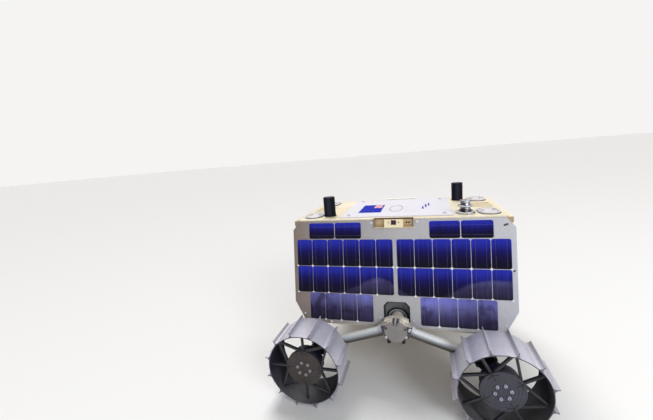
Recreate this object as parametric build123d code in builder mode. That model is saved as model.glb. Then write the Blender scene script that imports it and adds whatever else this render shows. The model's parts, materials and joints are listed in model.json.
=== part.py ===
import os
from math import atan2, cos, degrees, hypot, radians, sin

from build123d import *

os.makedirs("parts", exist_ok=True)

# Small four-wheel planetary rover, in millimetres. X is the direction of travel, Y runs across
# from the near side to the far side, and Z is up from the ground under the body's middle.

# Wheels: a thin rim band with straight grousers, held by flat spokes on a hub drum
wheel_base = 410.0
wheel_width = 85.0
rim_radius = 84.0
rim_wall = 2.0
grouser_count = 12
grouser_height = 10.5
grouser_thickness = 2.0
grouser_root = 0.6
grouser_fillet = 7.0
spoke_width = 4.5
spoke_depth = 6.0
spoke_nodes = 4
hub_face_inset = 9.0
hub_disc_lip = 4.0
hub_disc_thickness = 3.0
hub_drum_wall = 2.0
hub_drum_length = 31.0
hub_boss_radius = 16.0
hub_boss_length = 10.0
motor_radius = 30.0
motor_air_gap = 6.0
motor_end_gap = 5.0
motor_drum_inset = 1.0
motor_neck_radius = 12.0
drive_shaft_radius = 8.0
drive_shaft_end_gap = 0.1
shaft_clearance = 0.05
hub_bolt_centre_radius = 15.0
hub_bolt_count = 6
hub_bolt_head = 2.6
hub_bolt_height = 2.0

# Body: two leaning solar side panels, a deck, end panels and a belly pan
deck_above_axle = 312.0
deck_half_width = 152.0
panel_length = 520.0
panel_height = 257.0
panel_tilt = 10.0
panel_thickness = 5.0
panel_top_cut = (18.0, 22.0)
panel_bottom_cut = (28.0, 50.0)
frame_end_inset = 3.0
frame_depth = 12.0
frame_rail = 16.0
end_panel_inset = 5.0
end_panel_thickness = 4.0
end_fold_setback = 3.0
belly_thickness = 3.0
belly_setback = 1.0
belly_rib_height = 6.0
belly_rib_width = 8.0
belly_ribs = (-150.0, -75.0, 75.0, 150.0)
deck_cover_end_setback = 11.0
deck_cover_setback = 1.0
deck_cover_thickness = 3.0
deck_cover_corner = 10.0
deck_plate_setback = 18.0
deck_plate_thickness = 2.0
deck_plate_corner = 6.0
plate_hole_inset = (20.0, 22.0)
plate_hole_radius = 2.25
avionics_length = 300.0
avionics_height = 95.0
avionics_side_gap = 7.0

# Solar cells: portrait rows of six or four each side of the middle, and landscape pairs on top
cell_width = 39.8
cell_height = 66.6
cell_corner = 5.0
cell_thickness = 0.6
cell_gap_x = 1.2
cell_gap_y = 1.4
cell_centre_gap = 8.2
cell_edge_margin = 5.0
top_cell_gap = 1.9
top_cell_margin = 5.1
top_cell_start = 79.5
top_row_gap = 1.6
lower_row_start = 55.0

# Pivot recess and bearing housing in each side panel
pivot_above_bottom = 12.0
recess_height = 59.5
recess_corner = 10.0
housing_face_outside_deck = 12.0
housing_depth = 52.0
housing_liner = 3.0
pivot_tube_radius = 15.5
seal_width = 8.0
seal_proud = 6.0
bearing_width = 2.5
bearing_proud = 3.0
bearing_side_gap = 2.0
pivot_tube_hold = 36.0
pivot_tube_end_gap = 2.0

# Rocker: hub block on the pivot tube, two legs, and a motor mount by each wheel's axle
rocker_panel_gap = 5.4
leg_wheel_gap = 5.0
leg_diameter = 21.0
leg_wall = 1.8
leg_collar_diameter = 26.0
leg_collar_length = 6.0
hub_block_radius = 24.0
hub_block_depth = 34.0
hub_block_top = 20.0
hub_arm_length = 34.0
hub_arm_height = 29.0
leg_side_wall = 0.5
cover_overhang = 1.0
cover_corner_angle = 22.5
cover_thickness = 3.0
cover_top = 21.0
clamp_slot_width = 12.0
clamp_slot_depth = 6.0
clamp_ear_inner_x = 12.0
clamp_ear_outer_x = 28.0
clamp_ear_height = 21.0
clamp_ear_slope = 7.5
clamp_ear_depth = 12.0
cover_notch_radius = 2.0
mount_radius = 20.5
mount_from_axle = 16.0
mount_arm_length = 46.0
mount_arm_height = 25.0
mount_lobe_radius = 4.5
mount_lobe_inset = 1.0
mount_lobe_count = 8

# Deck fittings
antenna_radius = 15.5
antenna_height = 51.5
antenna_edge = 1.2
# end, side, gap to that end's pads, and distance in from that side's deck edge
antenna_places = ((-1, -1, 4.5, 54.0), (1, 1, 12.0, 58.0))
spool_pad_gap = 7.0
spool_plate_gap = 4.0
spool_from_edge = 44.0
# radius and height of each corner of the spool's turned profile, from its base up
spool_profile = (
    (22.0, 0.0),
    (22.0, 5.5),
    (10.8, 11.0),
    (10.8, 15.0),
    (17.5, 16.5),
    (17.5, 20.0),
    (10.0, 22.0),
    (10.0, 25.5),
    (12.8, 27.0),
    (12.8, 33.5),
)
pad_end_gap = 10.0
pad_from_edge = 57.0
pad_size = (46.0, 74.0)
pad_thickness = 3.0
pad_rim = 4.0
pad_recess = 1.4
end_cover_size = (54.0, 70.0)
end_cover_end_gap = 11.0
end_cover_recess = 2.0
end_cover_thickness = 1.0
camera_width = 91.0
camera_height = 23.0
camera_depth = 7.0
camera_block_width = 44.0
camera_block_proud = 2.0
camera_bay_frame = 1.5
camera_bay_depth = 4.5
camera_lip = 2.0
camera_lip_depth = 11.0
camera_top = 5.0
window_size = (12.5, 11.0)
window_depth = 3.0
window_thickness = 1.5

# Places that follow from the sizes above
grouser_tip = rim_radius + grouser_height
grouser_phase = 180.0 / grouser_count
axle_z = (grouser_tip * cos(radians(grouser_phase))
          + grouser_thickness / 2 * sin(radians(grouser_phase)))
panel_top_z = axle_z + deck_above_axle
panel_bottom_z = panel_top_z - panel_height * cos(radians(panel_tilt))
body_bottom_z = panel_bottom_z - panel_thickness * sin(radians(panel_tilt))
pivot_z = body_bottom_z + pivot_above_bottom
recess_top_z = body_bottom_z + recess_height
panel_spread = panel_height * sin(radians(panel_tilt))
frame_half_length = panel_length / 2 - frame_end_inset
end_panel_x = panel_length / 2 - end_panel_inset
deck_cover_half_length = panel_length / 2 - deck_cover_end_setback
cell_pitch_x = cell_width + cell_gap_x
cell_pitch_y = cell_height + cell_gap_y
top_cell_pitch = cell_height + top_cell_gap
top_cell_middle = top_cell_margin + cell_width / 2
cell_first_row = top_cell_margin + cell_width + top_row_gap
cell_row_count = int((panel_height - cell_first_row - cell_edge_margin) // cell_pitch_y)
seal_radius = pivot_tube_radius + seal_width
bearing_radius = seal_radius + bearing_width
recess_half_width = bearing_radius + bearing_side_gap + housing_liner
housing_face_y = deck_half_width + housing_face_outside_deck
housing_back_y = housing_face_y - housing_depth
pivot_tube_inner_y = housing_face_y - pivot_tube_hold
avionics_width = 2 * (housing_back_y - avionics_side_gap)
rocker_inner_y = deck_half_width + panel_spread + rocker_panel_gap
wheel_inner_y = rocker_inner_y + leg_diameter + leg_wheel_gap
wheel_outer_y = wheel_inner_y + wheel_width
hub_drum_radius = motor_radius + motor_air_gap + hub_drum_wall
hub_disc_radius = hub_drum_radius + hub_disc_lip
leg_holder_depth = leg_diameter + 2 * leg_side_wall
cover_half_across = hub_block_radius + cover_overhang
cover_corner_radius = cover_half_across / cos(radians(cover_corner_angle))
hub_face_y = wheel_outer_y - hub_face_inset
leg_y = rocker_inner_y + leg_diameter / 2
leg_angle = degrees(atan2(pivot_z - axle_z, wheel_base / 2))
leg_run = hypot(pivot_z - axle_z, wheel_base / 2)
deck_z = panel_top_z + deck_cover_thickness
pad_x = deck_cover_half_length - pad_end_gap - pad_size[0] / 2
pad_y = deck_half_width - pad_from_edge
pad_inner_x = pad_x - pad_size[0] / 2
spool_radius = spool_profile[0][0]
spool_x = pad_inner_x - spool_pad_gap - spool_radius
end_cover_x = deck_cover_half_length - end_cover_end_gap - end_cover_size[0] / 2
deck_plate_length = 2 * (spool_x - spool_radius - spool_plate_gap)
deck_plate_width = 2 * (deck_half_width - deck_plate_setback)
plate_hole_spacing = (
    deck_plate_length - 2 * plate_hole_inset[0],
    deck_plate_width - 2 * plate_hole_inset[1],
)
sides = (("near", -1), ("far", 1))
ends = (("front", 1), ("rear", -1))
# How far each wheel's spokes and hub are turned from its first grouser, in grousers
spoke_turns = {"front_near": 2, "rear_near": 1, "front_far": 0, "rear_far": 1}


def across(side, y_from, y_to):
    """Sketch plane facing -Y whose extrusion by y_to - y_from fills that stretch of one side."""
    return Plane.XZ.offset(-y_to) if side > 0 else Plane.XZ.offset(y_from)


def panel_plane(side):
    """Outer face of a leaning side panel, origin at its top edge, Y up the slope."""
    tilt = radians(panel_tilt)
    return Plane(
        origin=(0, side * deck_half_width, panel_top_z),
        x_dir=(-side, 0, 0),
        z_dir=(0, side * cos(tilt), sin(tilt)),
    )


def finish(part, name):
    part.label = name
    export_step(part, f"parts/{name}.step")


half_panel = panel_length / 2
panel_outline = [
    (-half_panel + panel_top_cut[0], 0),
    (half_panel - panel_top_cut[0], 0),
    (half_panel, -panel_top_cut[1]),
    (half_panel, -panel_height + panel_bottom_cut[1]),
    (half_panel - panel_bottom_cut[0], -panel_height),
    (-half_panel + panel_bottom_cut[0], -panel_height),
    (-half_panel, -panel_height + panel_bottom_cut[1]),
    (-half_panel, -panel_top_cut[1]),
]


def recess_outline(inset, low):
    """Arch of the pivot recess in X and Z, down to the height low, drawn smaller by inset."""
    half = recess_half_width - inset
    top = recess_top_z - inset
    return [
        (-half, low),
        (-half, top - recess_corner),
        (-half + recess_corner, top),
        (half - recess_corner, top),
        (half, top - recess_corner),
        (half, low),
    ]


# Height below the body, and Y outside the panels, that cuts for the pivot recess run out to
below_body_z = body_bottom_z - recess_corner
outside_y = deck_half_width + 2 * panel_spread

# Side panels, with the arch for the rocker's pivot cut from below
for side_name, side in sides:
    with BuildPart() as side_panel:
        with BuildSketch(panel_plane(side)):
            Polygon(*panel_outline, align=None)
        extrude(amount=-panel_thickness)
        with BuildSketch(across(side, deck_half_width, outside_y)):
            Polygon(*recess_outline(0, below_body_z), align=None)
        extrude(amount=outside_y - deck_half_width, mode=Mode.SUBTRACT)
    finish(side_panel.part, f"side_panel_{side_name}")


def cells_that_fit(start, end_cut, pitch):
    """How many cells of a row fit on one side, from start to the panel's end less its cut corner."""
    return int((half_panel - end_cut - cell_edge_margin - start) // pitch)


# Solar cells, each one a thin tile on the panel's face, with room for the pivot in the last row
for side_name, side in sides:
    with BuildPart() as solar_cells:
        with BuildSketch(panel_plane(side)):
            for row in range(cell_row_count):
                lowest = row == cell_row_count - 1
                start = lower_row_start if lowest else cell_centre_gap / 2
                end_cut = panel_bottom_cut[0] if lowest else 0
                row_y = -cell_first_row - cell_pitch_y * (row + 0.5)
                for index in range(cells_that_fit(start, end_cut, cell_pitch_x)):
                    column_x = start + cell_pitch_x * (index + 0.5)
                    with Locations((column_x, row_y), (-column_x, row_y)):
                        RectangleRounded(cell_width, cell_height, cell_corner)
            for index in range(cells_that_fit(top_cell_start, panel_top_cut[0], top_cell_pitch)):
                column_x = top_cell_start + top_cell_pitch * (index + 0.5)
                with Locations((column_x, -top_cell_middle), (-column_x, -top_cell_middle)):
                    RectangleRounded(cell_height, cell_width, cell_corner)
        extrude(amount=cell_thickness)
    finish(solar_cells.part, f"solar_cells_{side_name}")

inner_faces = [panel_plane(side).offset(-panel_thickness) for side_name, side in sides]

# Deck frame: a ring of rails between the side panels
with BuildPart() as deck_frame:
    with BuildSketch(Plane.XY.offset(panel_top_z - frame_depth)):
        Rectangle(2 * frame_half_length, 2 * (deck_half_width + frame_depth))
        Rectangle(
            2 * (frame_half_length - frame_rail),
            2 * (deck_half_width - frame_rail),
            mode=Mode.SUBTRACT,
        )
    extrude(amount=frame_depth)
    for face in inner_faces:
        split(bisect_by=face, keep=Keep.BOTTOM)
finish(deck_frame.part, "deck_frame")

# End panels: upright, then folded in towards the belly
fold_z = body_bottom_z + panel_bottom_cut[1] + end_fold_setback
fold_x = end_panel_x - panel_bottom_cut[0] + end_fold_setback
for end_name, end in ends:
    with BuildPart() as end_panel:
        with BuildSketch(Plane.XZ.offset(-deck_half_width - panel_spread)):
            Polygon(
                (end * end_panel_x, panel_top_z - frame_depth),
                (end * end_panel_x, fold_z),
                (end * fold_x, body_bottom_z),
                (end * (fold_x - end_panel_thickness), body_bottom_z),
                (end * (end_panel_x - end_panel_thickness), fold_z),
                (end * (end_panel_x - end_panel_thickness), panel_top_z - frame_depth),
                align=None,
            )
        extrude(amount=2 * (deck_half_width + panel_spread))
        for face in inner_faces:
            split(bisect_by=face, keep=Keep.BOTTOM)
    finish(end_panel.part, f"end_panel_{end_name}")

# Belly pan, notched for the pivot housings and stiffened by ribs underneath
belly_half_width = deck_half_width + panel_spread - belly_setback
notch_depth = belly_half_width - housing_back_y
with BuildPart() as belly_pan:
    with BuildSketch(Plane.XY.offset(body_bottom_z - belly_thickness)):
        Rectangle(2 * fold_x, 2 * belly_half_width)
        with Locations(
            (0, belly_half_width - notch_depth / 2),
            (0, -belly_half_width + notch_depth / 2),
        ):
            Rectangle(2 * recess_half_width, notch_depth, mode=Mode.SUBTRACT)
    extrude(amount=belly_thickness)
    with BuildSketch(Plane.XY.offset(body_bottom_z - belly_thickness)):
        with Locations(*[(x, 0) for x in belly_ribs]):
            SlotOverall(2 * housing_back_y, belly_rib_width, rotation=90)
    extrude(amount=-belly_rib_height)
finish(belly_pan.part, "belly_pan")

# Avionics and battery box, closed inside the body on the belly pan
with BuildPart() as avionics_box:
    with BuildSketch(Plane.XY.offset(body_bottom_z)):
        Rectangle(avionics_length, avionics_width)
    extrude(amount=avionics_height)
finish(avionics_box.part, "avionics_box")

# Deck cover, with shallow seats for the end covers and holes under the payload plate
with BuildPart() as deck_cover:
    with BuildSketch(Plane.XY.offset(panel_top_z)):
        Rectangle(2 * deck_cover_half_length, 2 * (deck_half_width - deck_cover_setback))
        chamfer(vertices(), length=deck_cover_corner)
        with GridLocations(plate_hole_spacing[0], plate_hole_spacing[1], 2, 2):
            Circle(plate_hole_radius, mode=Mode.SUBTRACT)
    extrude(amount=deck_cover_thickness)
    with BuildSketch(Plane.XY.offset(deck_z)):
        with Locations((end_cover_x, 0), (-end_cover_x, 0)):
            Rectangle(*end_cover_size)
    extrude(amount=-end_cover_recess, mode=Mode.SUBTRACT)
finish(deck_cover.part, "deck_cover")

with BuildPart() as end_covers:
    with BuildSketch(Plane.XY.offset(deck_z - end_cover_recess)):
        with Locations((end_cover_x, 0), (-end_cover_x, 0)):
            Rectangle(*end_cover_size)
    extrude(amount=end_cover_thickness)
finish(end_covers.part, "end_covers")

# Payload plate in the middle of the deck, with its four fixing holes
with BuildPart() as payload_plate:
    with BuildSketch(Plane.XY.offset(deck_z)):
        RectangleRounded(deck_plate_length, deck_plate_width, deck_plate_corner)
        with GridLocations(plate_hole_spacing[0], plate_hole_spacing[1], 2, 2):
            Circle(plate_hole_radius, mode=Mode.SUBTRACT)
    extrude(amount=deck_plate_thickness)
finish(payload_plate.part, "payload_plate")

# Oval service pads near the deck's corners, each a dish with a raised rim
with BuildPart() as service_pads:
    with BuildSketch(Plane.XY.offset(deck_z)):
        with GridLocations(2 * pad_x, 2 * pad_y, 2, 2):
            SlotOverall(pad_size[1], pad_size[0], rotation=90)
    extrude(amount=pad_thickness)
    with BuildSketch(Plane.XY.offset(deck_z + pad_thickness)):
        with GridLocations(2 * pad_x, 2 * pad_y, 2, 2):
            SlotOverall(pad_size[1] - 2 * pad_rim, pad_size[0] - 2 * pad_rim, rotation=90)
    extrude(amount=-pad_recess, mode=Mode.SUBTRACT)
finish(service_pads.part, "service_pads")

# Two stub antennas on the deck
with BuildPart() as stub_antennas:
    with BuildSketch(Plane.XY.offset(deck_z)):
        for end, side, pad_gap, from_edge in antenna_places:
            antenna_x = end * (pad_inner_x - pad_gap - antenna_radius)
            with Locations((antenna_x, side * (deck_half_width - from_edge))):
                Circle(antenna_radius)
    extrude(amount=antenna_height)
    fillet(stub_antennas.edges().group_by(Axis.Z)[-1], radius=antenna_edge)
finish(stub_antennas.part, "stub_antennas")

# Turned spool fitting at one corner of the deck
spool_foot = (spool_x, -deck_half_width + spool_from_edge, deck_z)
spool_base = Plane(origin=spool_foot, x_dir=(1, 0, 0), z_dir=(0, -1, 0))
with BuildPart() as deck_spool:
    with BuildSketch(spool_base):
        Polygon((0, spool_profile[0][1]), *spool_profile, (0, spool_profile[-1][1]), align=None)
    revolve(axis=Axis(spool_foot, (0, 0, 1)))
finish(deck_spool.part, "deck_spool")

# Camera housings at the top of each side panel, with a window in the middle block and open bays
camera_middle = camera_top - camera_height / 2
bay_width = (camera_width - camera_block_width) / 2 - camera_bay_frame
bay_x = (camera_block_width + bay_width) / 2
bay_middle = camera_middle - (camera_lip - camera_bay_frame) / 2
with BuildPart() as camera_housings:
    for side_name, side in sides:
        with BuildSketch(panel_plane(side)):
            with Locations((0, camera_middle - camera_lip / 2)):
                Rectangle(camera_width, camera_height - camera_lip)
        extrude(amount=camera_depth)
        with BuildSketch(panel_plane(side)):
            with Locations((0, camera_top - camera_lip / 2)):
                Rectangle(camera_width, camera_lip)
        extrude(amount=camera_lip_depth)
        with BuildSketch(panel_plane(side)):
            with Locations((0, camera_middle - camera_lip / 2)):
                Rectangle(camera_block_width, camera_height - camera_lip)
        extrude(amount=camera_depth + camera_block_proud)
        with BuildSketch(panel_plane(side).offset(camera_depth)):
            with Locations((bay_x, bay_middle), (-bay_x, bay_middle)):
                Rectangle(bay_width, camera_height - camera_lip - camera_bay_frame)
        extrude(amount=-camera_bay_depth, mode=Mode.SUBTRACT)
        with BuildSketch(panel_plane(side).offset(camera_depth + camera_block_proud)):
            with Locations((0, camera_middle)):
                Rectangle(*window_size)
        extrude(amount=-window_depth, mode=Mode.SUBTRACT)
finish(camera_housings.part, "camera_housings")

with BuildPart() as camera_windows:
    for side_name, side in sides:
        window_back = camera_depth + camera_block_proud - window_depth
        with BuildSketch(panel_plane(side).offset(window_back)):
            with Locations((0, camera_middle)):
                Rectangle(*window_size)
        extrude(amount=window_thickness)
finish(camera_windows.part, "camera_windows")

# Pivot housings: a lined arch behind each panel's recess, with the bearing and its seal ring
belly_underside_z = body_bottom_z - belly_thickness
bore_start_y = pivot_tube_inner_y - pivot_tube_end_gap
with BuildPart() as pivot_housings:
    for side_name, side in sides:
        with BuildSketch(across(side, housing_back_y, outside_y)):
            Polygon(*recess_outline(0, belly_underside_z), align=None)
        extrude(amount=outside_y - housing_back_y)
    for face in inner_faces:
        split(bisect_by=face, keep=Keep.BOTTOM)
    for side_name, side in sides:
        with BuildSketch(across(side, housing_face_y, outside_y)):
            Polygon(*recess_outline(housing_liner, below_body_z), align=None)
        extrude(amount=outside_y - housing_face_y, mode=Mode.SUBTRACT)
        # radius and outer Y of the bearing boss and the seal ring
        for ring_radius, ring_y in (
            (bearing_radius, housing_face_y + bearing_proud),
            (seal_radius, housing_face_y + seal_proud),
        ):
            with BuildSketch(across(side, housing_back_y, ring_y)):
                with Locations((0, pivot_z)):
                    Circle(ring_radius)
            extrude(amount=ring_y - housing_back_y)
        bore_end_y = housing_face_y + seal_proud
        with BuildSketch(across(side, bore_start_y, bore_end_y)):
            with Locations((0, pivot_z)):
                Circle(pivot_tube_radius + shaft_clearance)
        extrude(amount=bore_end_y - bore_start_y, mode=Mode.SUBTRACT)
finish(pivot_housings.part, "pivot_housings")


def leg_point(end, distance):
    """Point on a leg's centre line, at a distance from the pivot axis."""
    return (
        end * distance * cos(radians(leg_angle)),
        pivot_z - distance * sin(radians(leg_angle)),
    )


def grouser_roots(corners, axle_x):
    """The corners of a rim's outline where the grousers' sides meet the rim's circle."""
    found = []
    step = 360.0 / grouser_count
    for corner in corners:
        x, z = corner.X - axle_x, corner.Y - axle_z
        off_grouser = (degrees(atan2(z, x)) - grouser_phase + step / 2) % step - step / 2
        sideways = hypot(x, z) * sin(radians(abs(off_grouser)))
        if hypot(x, z) < rim_radius + grouser_height / 2 and sideways < grouser_thickness:
            found.append(corner)
    return found


for side_name, side in sides:
    # Rocker hub: pivot tube, flat-topped hub block, an arm towards each leg and two clamp ears
    block_outer_y = rocker_inner_y + hub_block_depth
    with BuildPart() as rocker_hub:
        with BuildSketch(across(side, pivot_tube_inner_y, rocker_inner_y)):
            with Locations((0, pivot_z)):
                Circle(pivot_tube_radius)
        extrude(amount=rocker_inner_y - pivot_tube_inner_y)
        with BuildSketch(across(side, rocker_inner_y, block_outer_y)):
            with Locations((0, pivot_z)):
                Circle(hub_block_radius)
            with Locations((0, pivot_z + hub_block_top + hub_block_radius)):
                Rectangle(2 * hub_block_radius, 2 * hub_block_radius, mode=Mode.SUBTRACT)
        extrude(amount=hub_block_depth)
        with BuildSketch(across(side, rocker_inner_y, rocker_inner_y + leg_holder_depth)):
            for end_name, end in ends:
                with Locations(Location((*leg_point(end, hub_arm_length / 2), 0), -end * leg_angle)):
                    Rectangle(hub_arm_length, hub_arm_height)
        extrude(amount=leg_holder_depth)
        with BuildSketch(across(side, rocker_inner_y, rocker_inner_y + clamp_ear_depth)):
            for end_name, end in ends:
                Polygon(
                    (end * clamp_ear_inner_x, pivot_z),
                    (end * clamp_ear_inner_x, pivot_z + clamp_ear_height),
                    (end * clamp_ear_outer_x, pivot_z + clamp_ear_height - clamp_ear_slope),
                    (end * clamp_ear_outer_x, pivot_z),
                    align=None,
                )
        extrude(amount=clamp_ear_depth)
        with BuildSketch(across(side, rocker_inner_y + leg_holder_depth, block_outer_y)):
            with Locations((0, pivot_z + hub_block_top)):
                Rectangle(clamp_slot_width, 2 * clamp_slot_depth)
        extrude(amount=hub_block_depth - leg_holder_depth, mode=Mode.SUBTRACT)
    finish(rocker_hub.part, f"rocker_hub_{side_name}")

    # Octagonal cover over the hub block, notched at its corners and cut flat at its top
    with BuildPart() as hub_cover:
        with BuildSketch(across(side, block_outer_y, block_outer_y + cover_thickness)):
            with Locations((0, pivot_z)):
                RegularPolygon(cover_corner_radius, 8, rotation=cover_corner_angle)
                with PolarLocations(cover_corner_radius, 8, start_angle=cover_corner_angle):
                    Circle(cover_notch_radius, mode=Mode.SUBTRACT)
            with Locations((0, pivot_z + cover_top + cover_corner_radius)):
                Rectangle(2 * cover_corner_radius, 2 * cover_corner_radius, mode=Mode.SUBTRACT)
        extrude(amount=cover_thickness)
    finish(hub_cover.part, f"hub_cover_{side_name}")

    for end_name, end in ends:
        place = f"{end_name}_{side_name}"
        axle_x = end * wheel_base / 2

        # Leg tube from the hub's arm to the motor mount's arm
        leg_length = leg_run - hub_arm_length - mount_arm_length
        start_x, start_z = leg_point(end, hub_arm_length)
        leg_direction = (end * cos(radians(leg_angle)), 0, -sin(radians(leg_angle)))
        leg_plane = Plane(origin=(start_x, side * leg_y, start_z), z_dir=leg_direction)
        with BuildPart() as leg_tube:
            with BuildSketch(leg_plane):
                Circle(leg_diameter / 2)
                Circle(leg_diameter / 2 - leg_wall, mode=Mode.SUBTRACT)
            extrude(amount=leg_length)
            with BuildSketch(leg_plane):
                Circle(leg_collar_diameter / 2)
                Circle(leg_diameter / 2 - leg_wall, mode=Mode.SUBTRACT)
            extrude(amount=leg_collar_length)
        finish(leg_tube.part, f"leg_tube_{place}")

        # Motor mount: a lobed clamp on the leg's line, the motor's neck and can, and its drive shaft
        mount_outer_y = rocker_inner_y + leg_holder_depth
        disc_back_y = hub_face_y - hub_disc_thickness
        drum_inner_y = disc_back_y - hub_drum_length
        boss_inner_y = disc_back_y - hub_boss_length
        motor_inner_y = drum_inner_y + motor_drum_inset
        motor_outer_y = boss_inner_y - motor_end_gap
        shaft_outer_y = disc_back_y - drive_shaft_end_gap
        mount_middle = leg_point(end, leg_run - mount_from_axle)
        arm_middle = leg_point(end, leg_run - (mount_arm_length + mount_from_axle) / 2)
        with BuildPart() as wheel_motor:
            with BuildSketch(across(side, rocker_inner_y, mount_outer_y)):
                with Locations(Location((*mount_middle, 0), -end * leg_angle)):
                    Circle(mount_radius)
                    with PolarLocations(mount_radius - mount_lobe_inset, mount_lobe_count):
                        Circle(mount_lobe_radius)
                with Locations(Location((*arm_middle, 0), -end * leg_angle)):
                    Rectangle(mount_arm_length - mount_from_axle, mount_arm_height)
            extrude(amount=leg_holder_depth)
            with BuildSketch(across(side, mount_outer_y, motor_inner_y)):
                with Locations((axle_x, axle_z)):
                    Circle(motor_neck_radius)
            extrude(amount=motor_inner_y - mount_outer_y)
            with BuildSketch(across(side, motor_inner_y, motor_outer_y)):
                with Locations((axle_x, axle_z)):
                    Circle(motor_radius)
            extrude(amount=motor_outer_y - motor_inner_y)
            with BuildSketch(across(side, motor_outer_y, shaft_outer_y)):
                with Locations((axle_x, axle_z)):
                    Circle(drive_shaft_radius)
            extrude(amount=shaft_outer_y - motor_outer_y)
        finish(wheel_motor.part, f"wheel_motor_{place}")

        # Wheel rim with its grousers
        axle_on_plane = (axle_x, axle_z)
        with BuildPart() as wheel_rim:
            with BuildSketch(across(side, wheel_inner_y, wheel_outer_y)):
                with Locations(axle_on_plane):
                    Circle(rim_radius)
                    grouser_middle = rim_radius + (grouser_height - grouser_root) / 2
                    with PolarLocations(grouser_middle, grouser_count, start_angle=grouser_phase):
                        Rectangle(grouser_height + grouser_root, grouser_thickness)
                fillet(grouser_roots(vertices(), axle_x), radius=grouser_fillet)
                with Locations(axle_on_plane):
                    Circle(rim_radius - rim_wall, mode=Mode.SUBTRACT)
            extrude(amount=wheel_width)
        finish(wheel_rim.part, f"wheel_rim_{place}")

        # Spokes: from each hub node one straight out and one to either side, in a flat star
        rim_inner = rim_radius - rim_wall
        fan = 180.0 / spoke_nodes
        wheel_phase = grouser_phase + spoke_turns[place] * 360.0 / grouser_count
        with BuildPart() as wheel_spokes:
            with BuildSketch(across(side, disc_back_y - spoke_depth, disc_back_y)):
                with Locations(axle_on_plane):
                    Circle(hub_disc_radius)
                for node in range(spoke_nodes):
                    node_angle = wheel_phase + fan + node * 2 * fan
                    for turn in (-fan, 0, fan):
                        inner = Vector(hub_drum_radius, 0).rotate(Axis.Z, node_angle)
                        outer = Vector(rim_radius, 0).rotate(Axis.Z, node_angle + turn)
                        middle = (inner + outer) / 2
                        run = outer - inner
                        spin = degrees(atan2(run.Y, run.X))
                        with Locations(Location((axle_x + middle.X, axle_z + middle.Y, 0), spin)):
                            Rectangle(run.length, spoke_width)
                with Locations(axle_on_plane):
                    Circle(rim_inner, mode=Mode.INTERSECT)
                    Circle(hub_drum_radius, mode=Mode.SUBTRACT)
            extrude(amount=spoke_depth)
        finish(wheel_spokes.part, f"wheel_spokes_{place}")

        # Hub: face disc, drum round the motor, and a boss on the drive shaft
        with BuildPart() as wheel_hub:
            with BuildSketch(across(side, disc_back_y, hub_face_y)):
                with Locations(axle_on_plane):
                    Circle(hub_disc_radius)
            extrude(amount=hub_disc_thickness)
            with BuildSketch(across(side, drum_inner_y, disc_back_y)):
                with Locations(axle_on_plane):
                    Circle(hub_drum_radius)
                    Circle(hub_drum_radius - hub_drum_wall, mode=Mode.SUBTRACT)
            extrude(amount=hub_drum_length)
            with BuildSketch(across(side, boss_inner_y, disc_back_y)):
                with Locations(axle_on_plane):
                    Circle(hub_boss_radius)
                    Circle(drive_shaft_radius + shaft_clearance, mode=Mode.SUBTRACT)
            extrude(amount=hub_boss_length)
            with BuildSketch(across(side, hub_face_y, hub_face_y + hub_bolt_height)):
                with Locations(axle_on_plane):
                    with PolarLocations(hub_bolt_centre_radius, hub_bolt_count, start_angle=wheel_phase):
                        RegularPolygon(hub_bolt_head, 6)
            extrude(amount=hub_bolt_height)
        finish(wheel_hub.part, f"wheel_hub_{place}")

print("axle height", round(axle_z, 2), "deck top", round(deck_z, 2), "pivot height", round(pivot_z, 2))
print("panel bottom", round(panel_bottom_z, 2), "body bottom", round(body_bottom_z, 2))
print("panel spread", round(panel_spread, 2), "leg angle", round(leg_angle, 2), "leg run", round(leg_run, 2))
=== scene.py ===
import json
from math import cos, pi, radians, sin, tan

import bmesh
import bpy
from mathutils import Matrix, Vector


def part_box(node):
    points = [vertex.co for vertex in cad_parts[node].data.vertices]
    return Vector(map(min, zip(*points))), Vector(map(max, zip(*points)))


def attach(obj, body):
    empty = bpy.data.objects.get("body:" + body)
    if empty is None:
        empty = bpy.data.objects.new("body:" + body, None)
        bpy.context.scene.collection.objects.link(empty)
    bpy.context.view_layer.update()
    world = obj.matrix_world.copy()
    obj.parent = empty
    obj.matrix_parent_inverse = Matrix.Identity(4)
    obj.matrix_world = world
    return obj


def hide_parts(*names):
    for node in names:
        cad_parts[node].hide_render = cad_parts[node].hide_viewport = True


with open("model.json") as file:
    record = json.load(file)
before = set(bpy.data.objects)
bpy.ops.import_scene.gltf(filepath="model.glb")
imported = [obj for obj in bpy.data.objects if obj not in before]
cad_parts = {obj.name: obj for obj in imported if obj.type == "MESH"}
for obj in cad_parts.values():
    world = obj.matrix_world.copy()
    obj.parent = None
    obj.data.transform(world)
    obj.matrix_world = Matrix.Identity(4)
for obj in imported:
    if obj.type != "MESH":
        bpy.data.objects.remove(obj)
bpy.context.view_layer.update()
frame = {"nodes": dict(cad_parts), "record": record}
nodes = frame["nodes"]
sides = {"near": -1, "far": 1}
ends = {"front": 1, "rear": -1}
link = bpy.context.scene.collection.objects.link
print("frame loaded:", len(nodes), "nodes")

# The photograph's camera, worked out from the solar cells and the wheels
cameraLook = {
    "place": (0.068769, -0.915864, 0.567118),
    "turn": (80.39838, 4.74573, 16.27229),
    "focalPixels": 320,
    "imageWidth": 653,
    "sensorWidth": 36,
    "clipStart": 0.02,
}
camera = bpy.data.cameras.new("camera")
camera.sensor_width = cameraLook["sensorWidth"]
camera.lens = cameraLook["focalPixels"] / cameraLook["imageWidth"] * camera.sensor_width
camera.clip_start = cameraLook["clipStart"]
cameraObject = bpy.data.objects.new("camera", camera)
cameraObject.location = cameraLook["place"]
cameraObject.rotation_euler = [radians(angle) for angle in cameraLook["turn"]]
link(cameraObject)
bpy.context.scene.camera = cameraObject
bpy.context.scene.view_settings.view_transform = "Standard"
print("camera placed")

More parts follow.
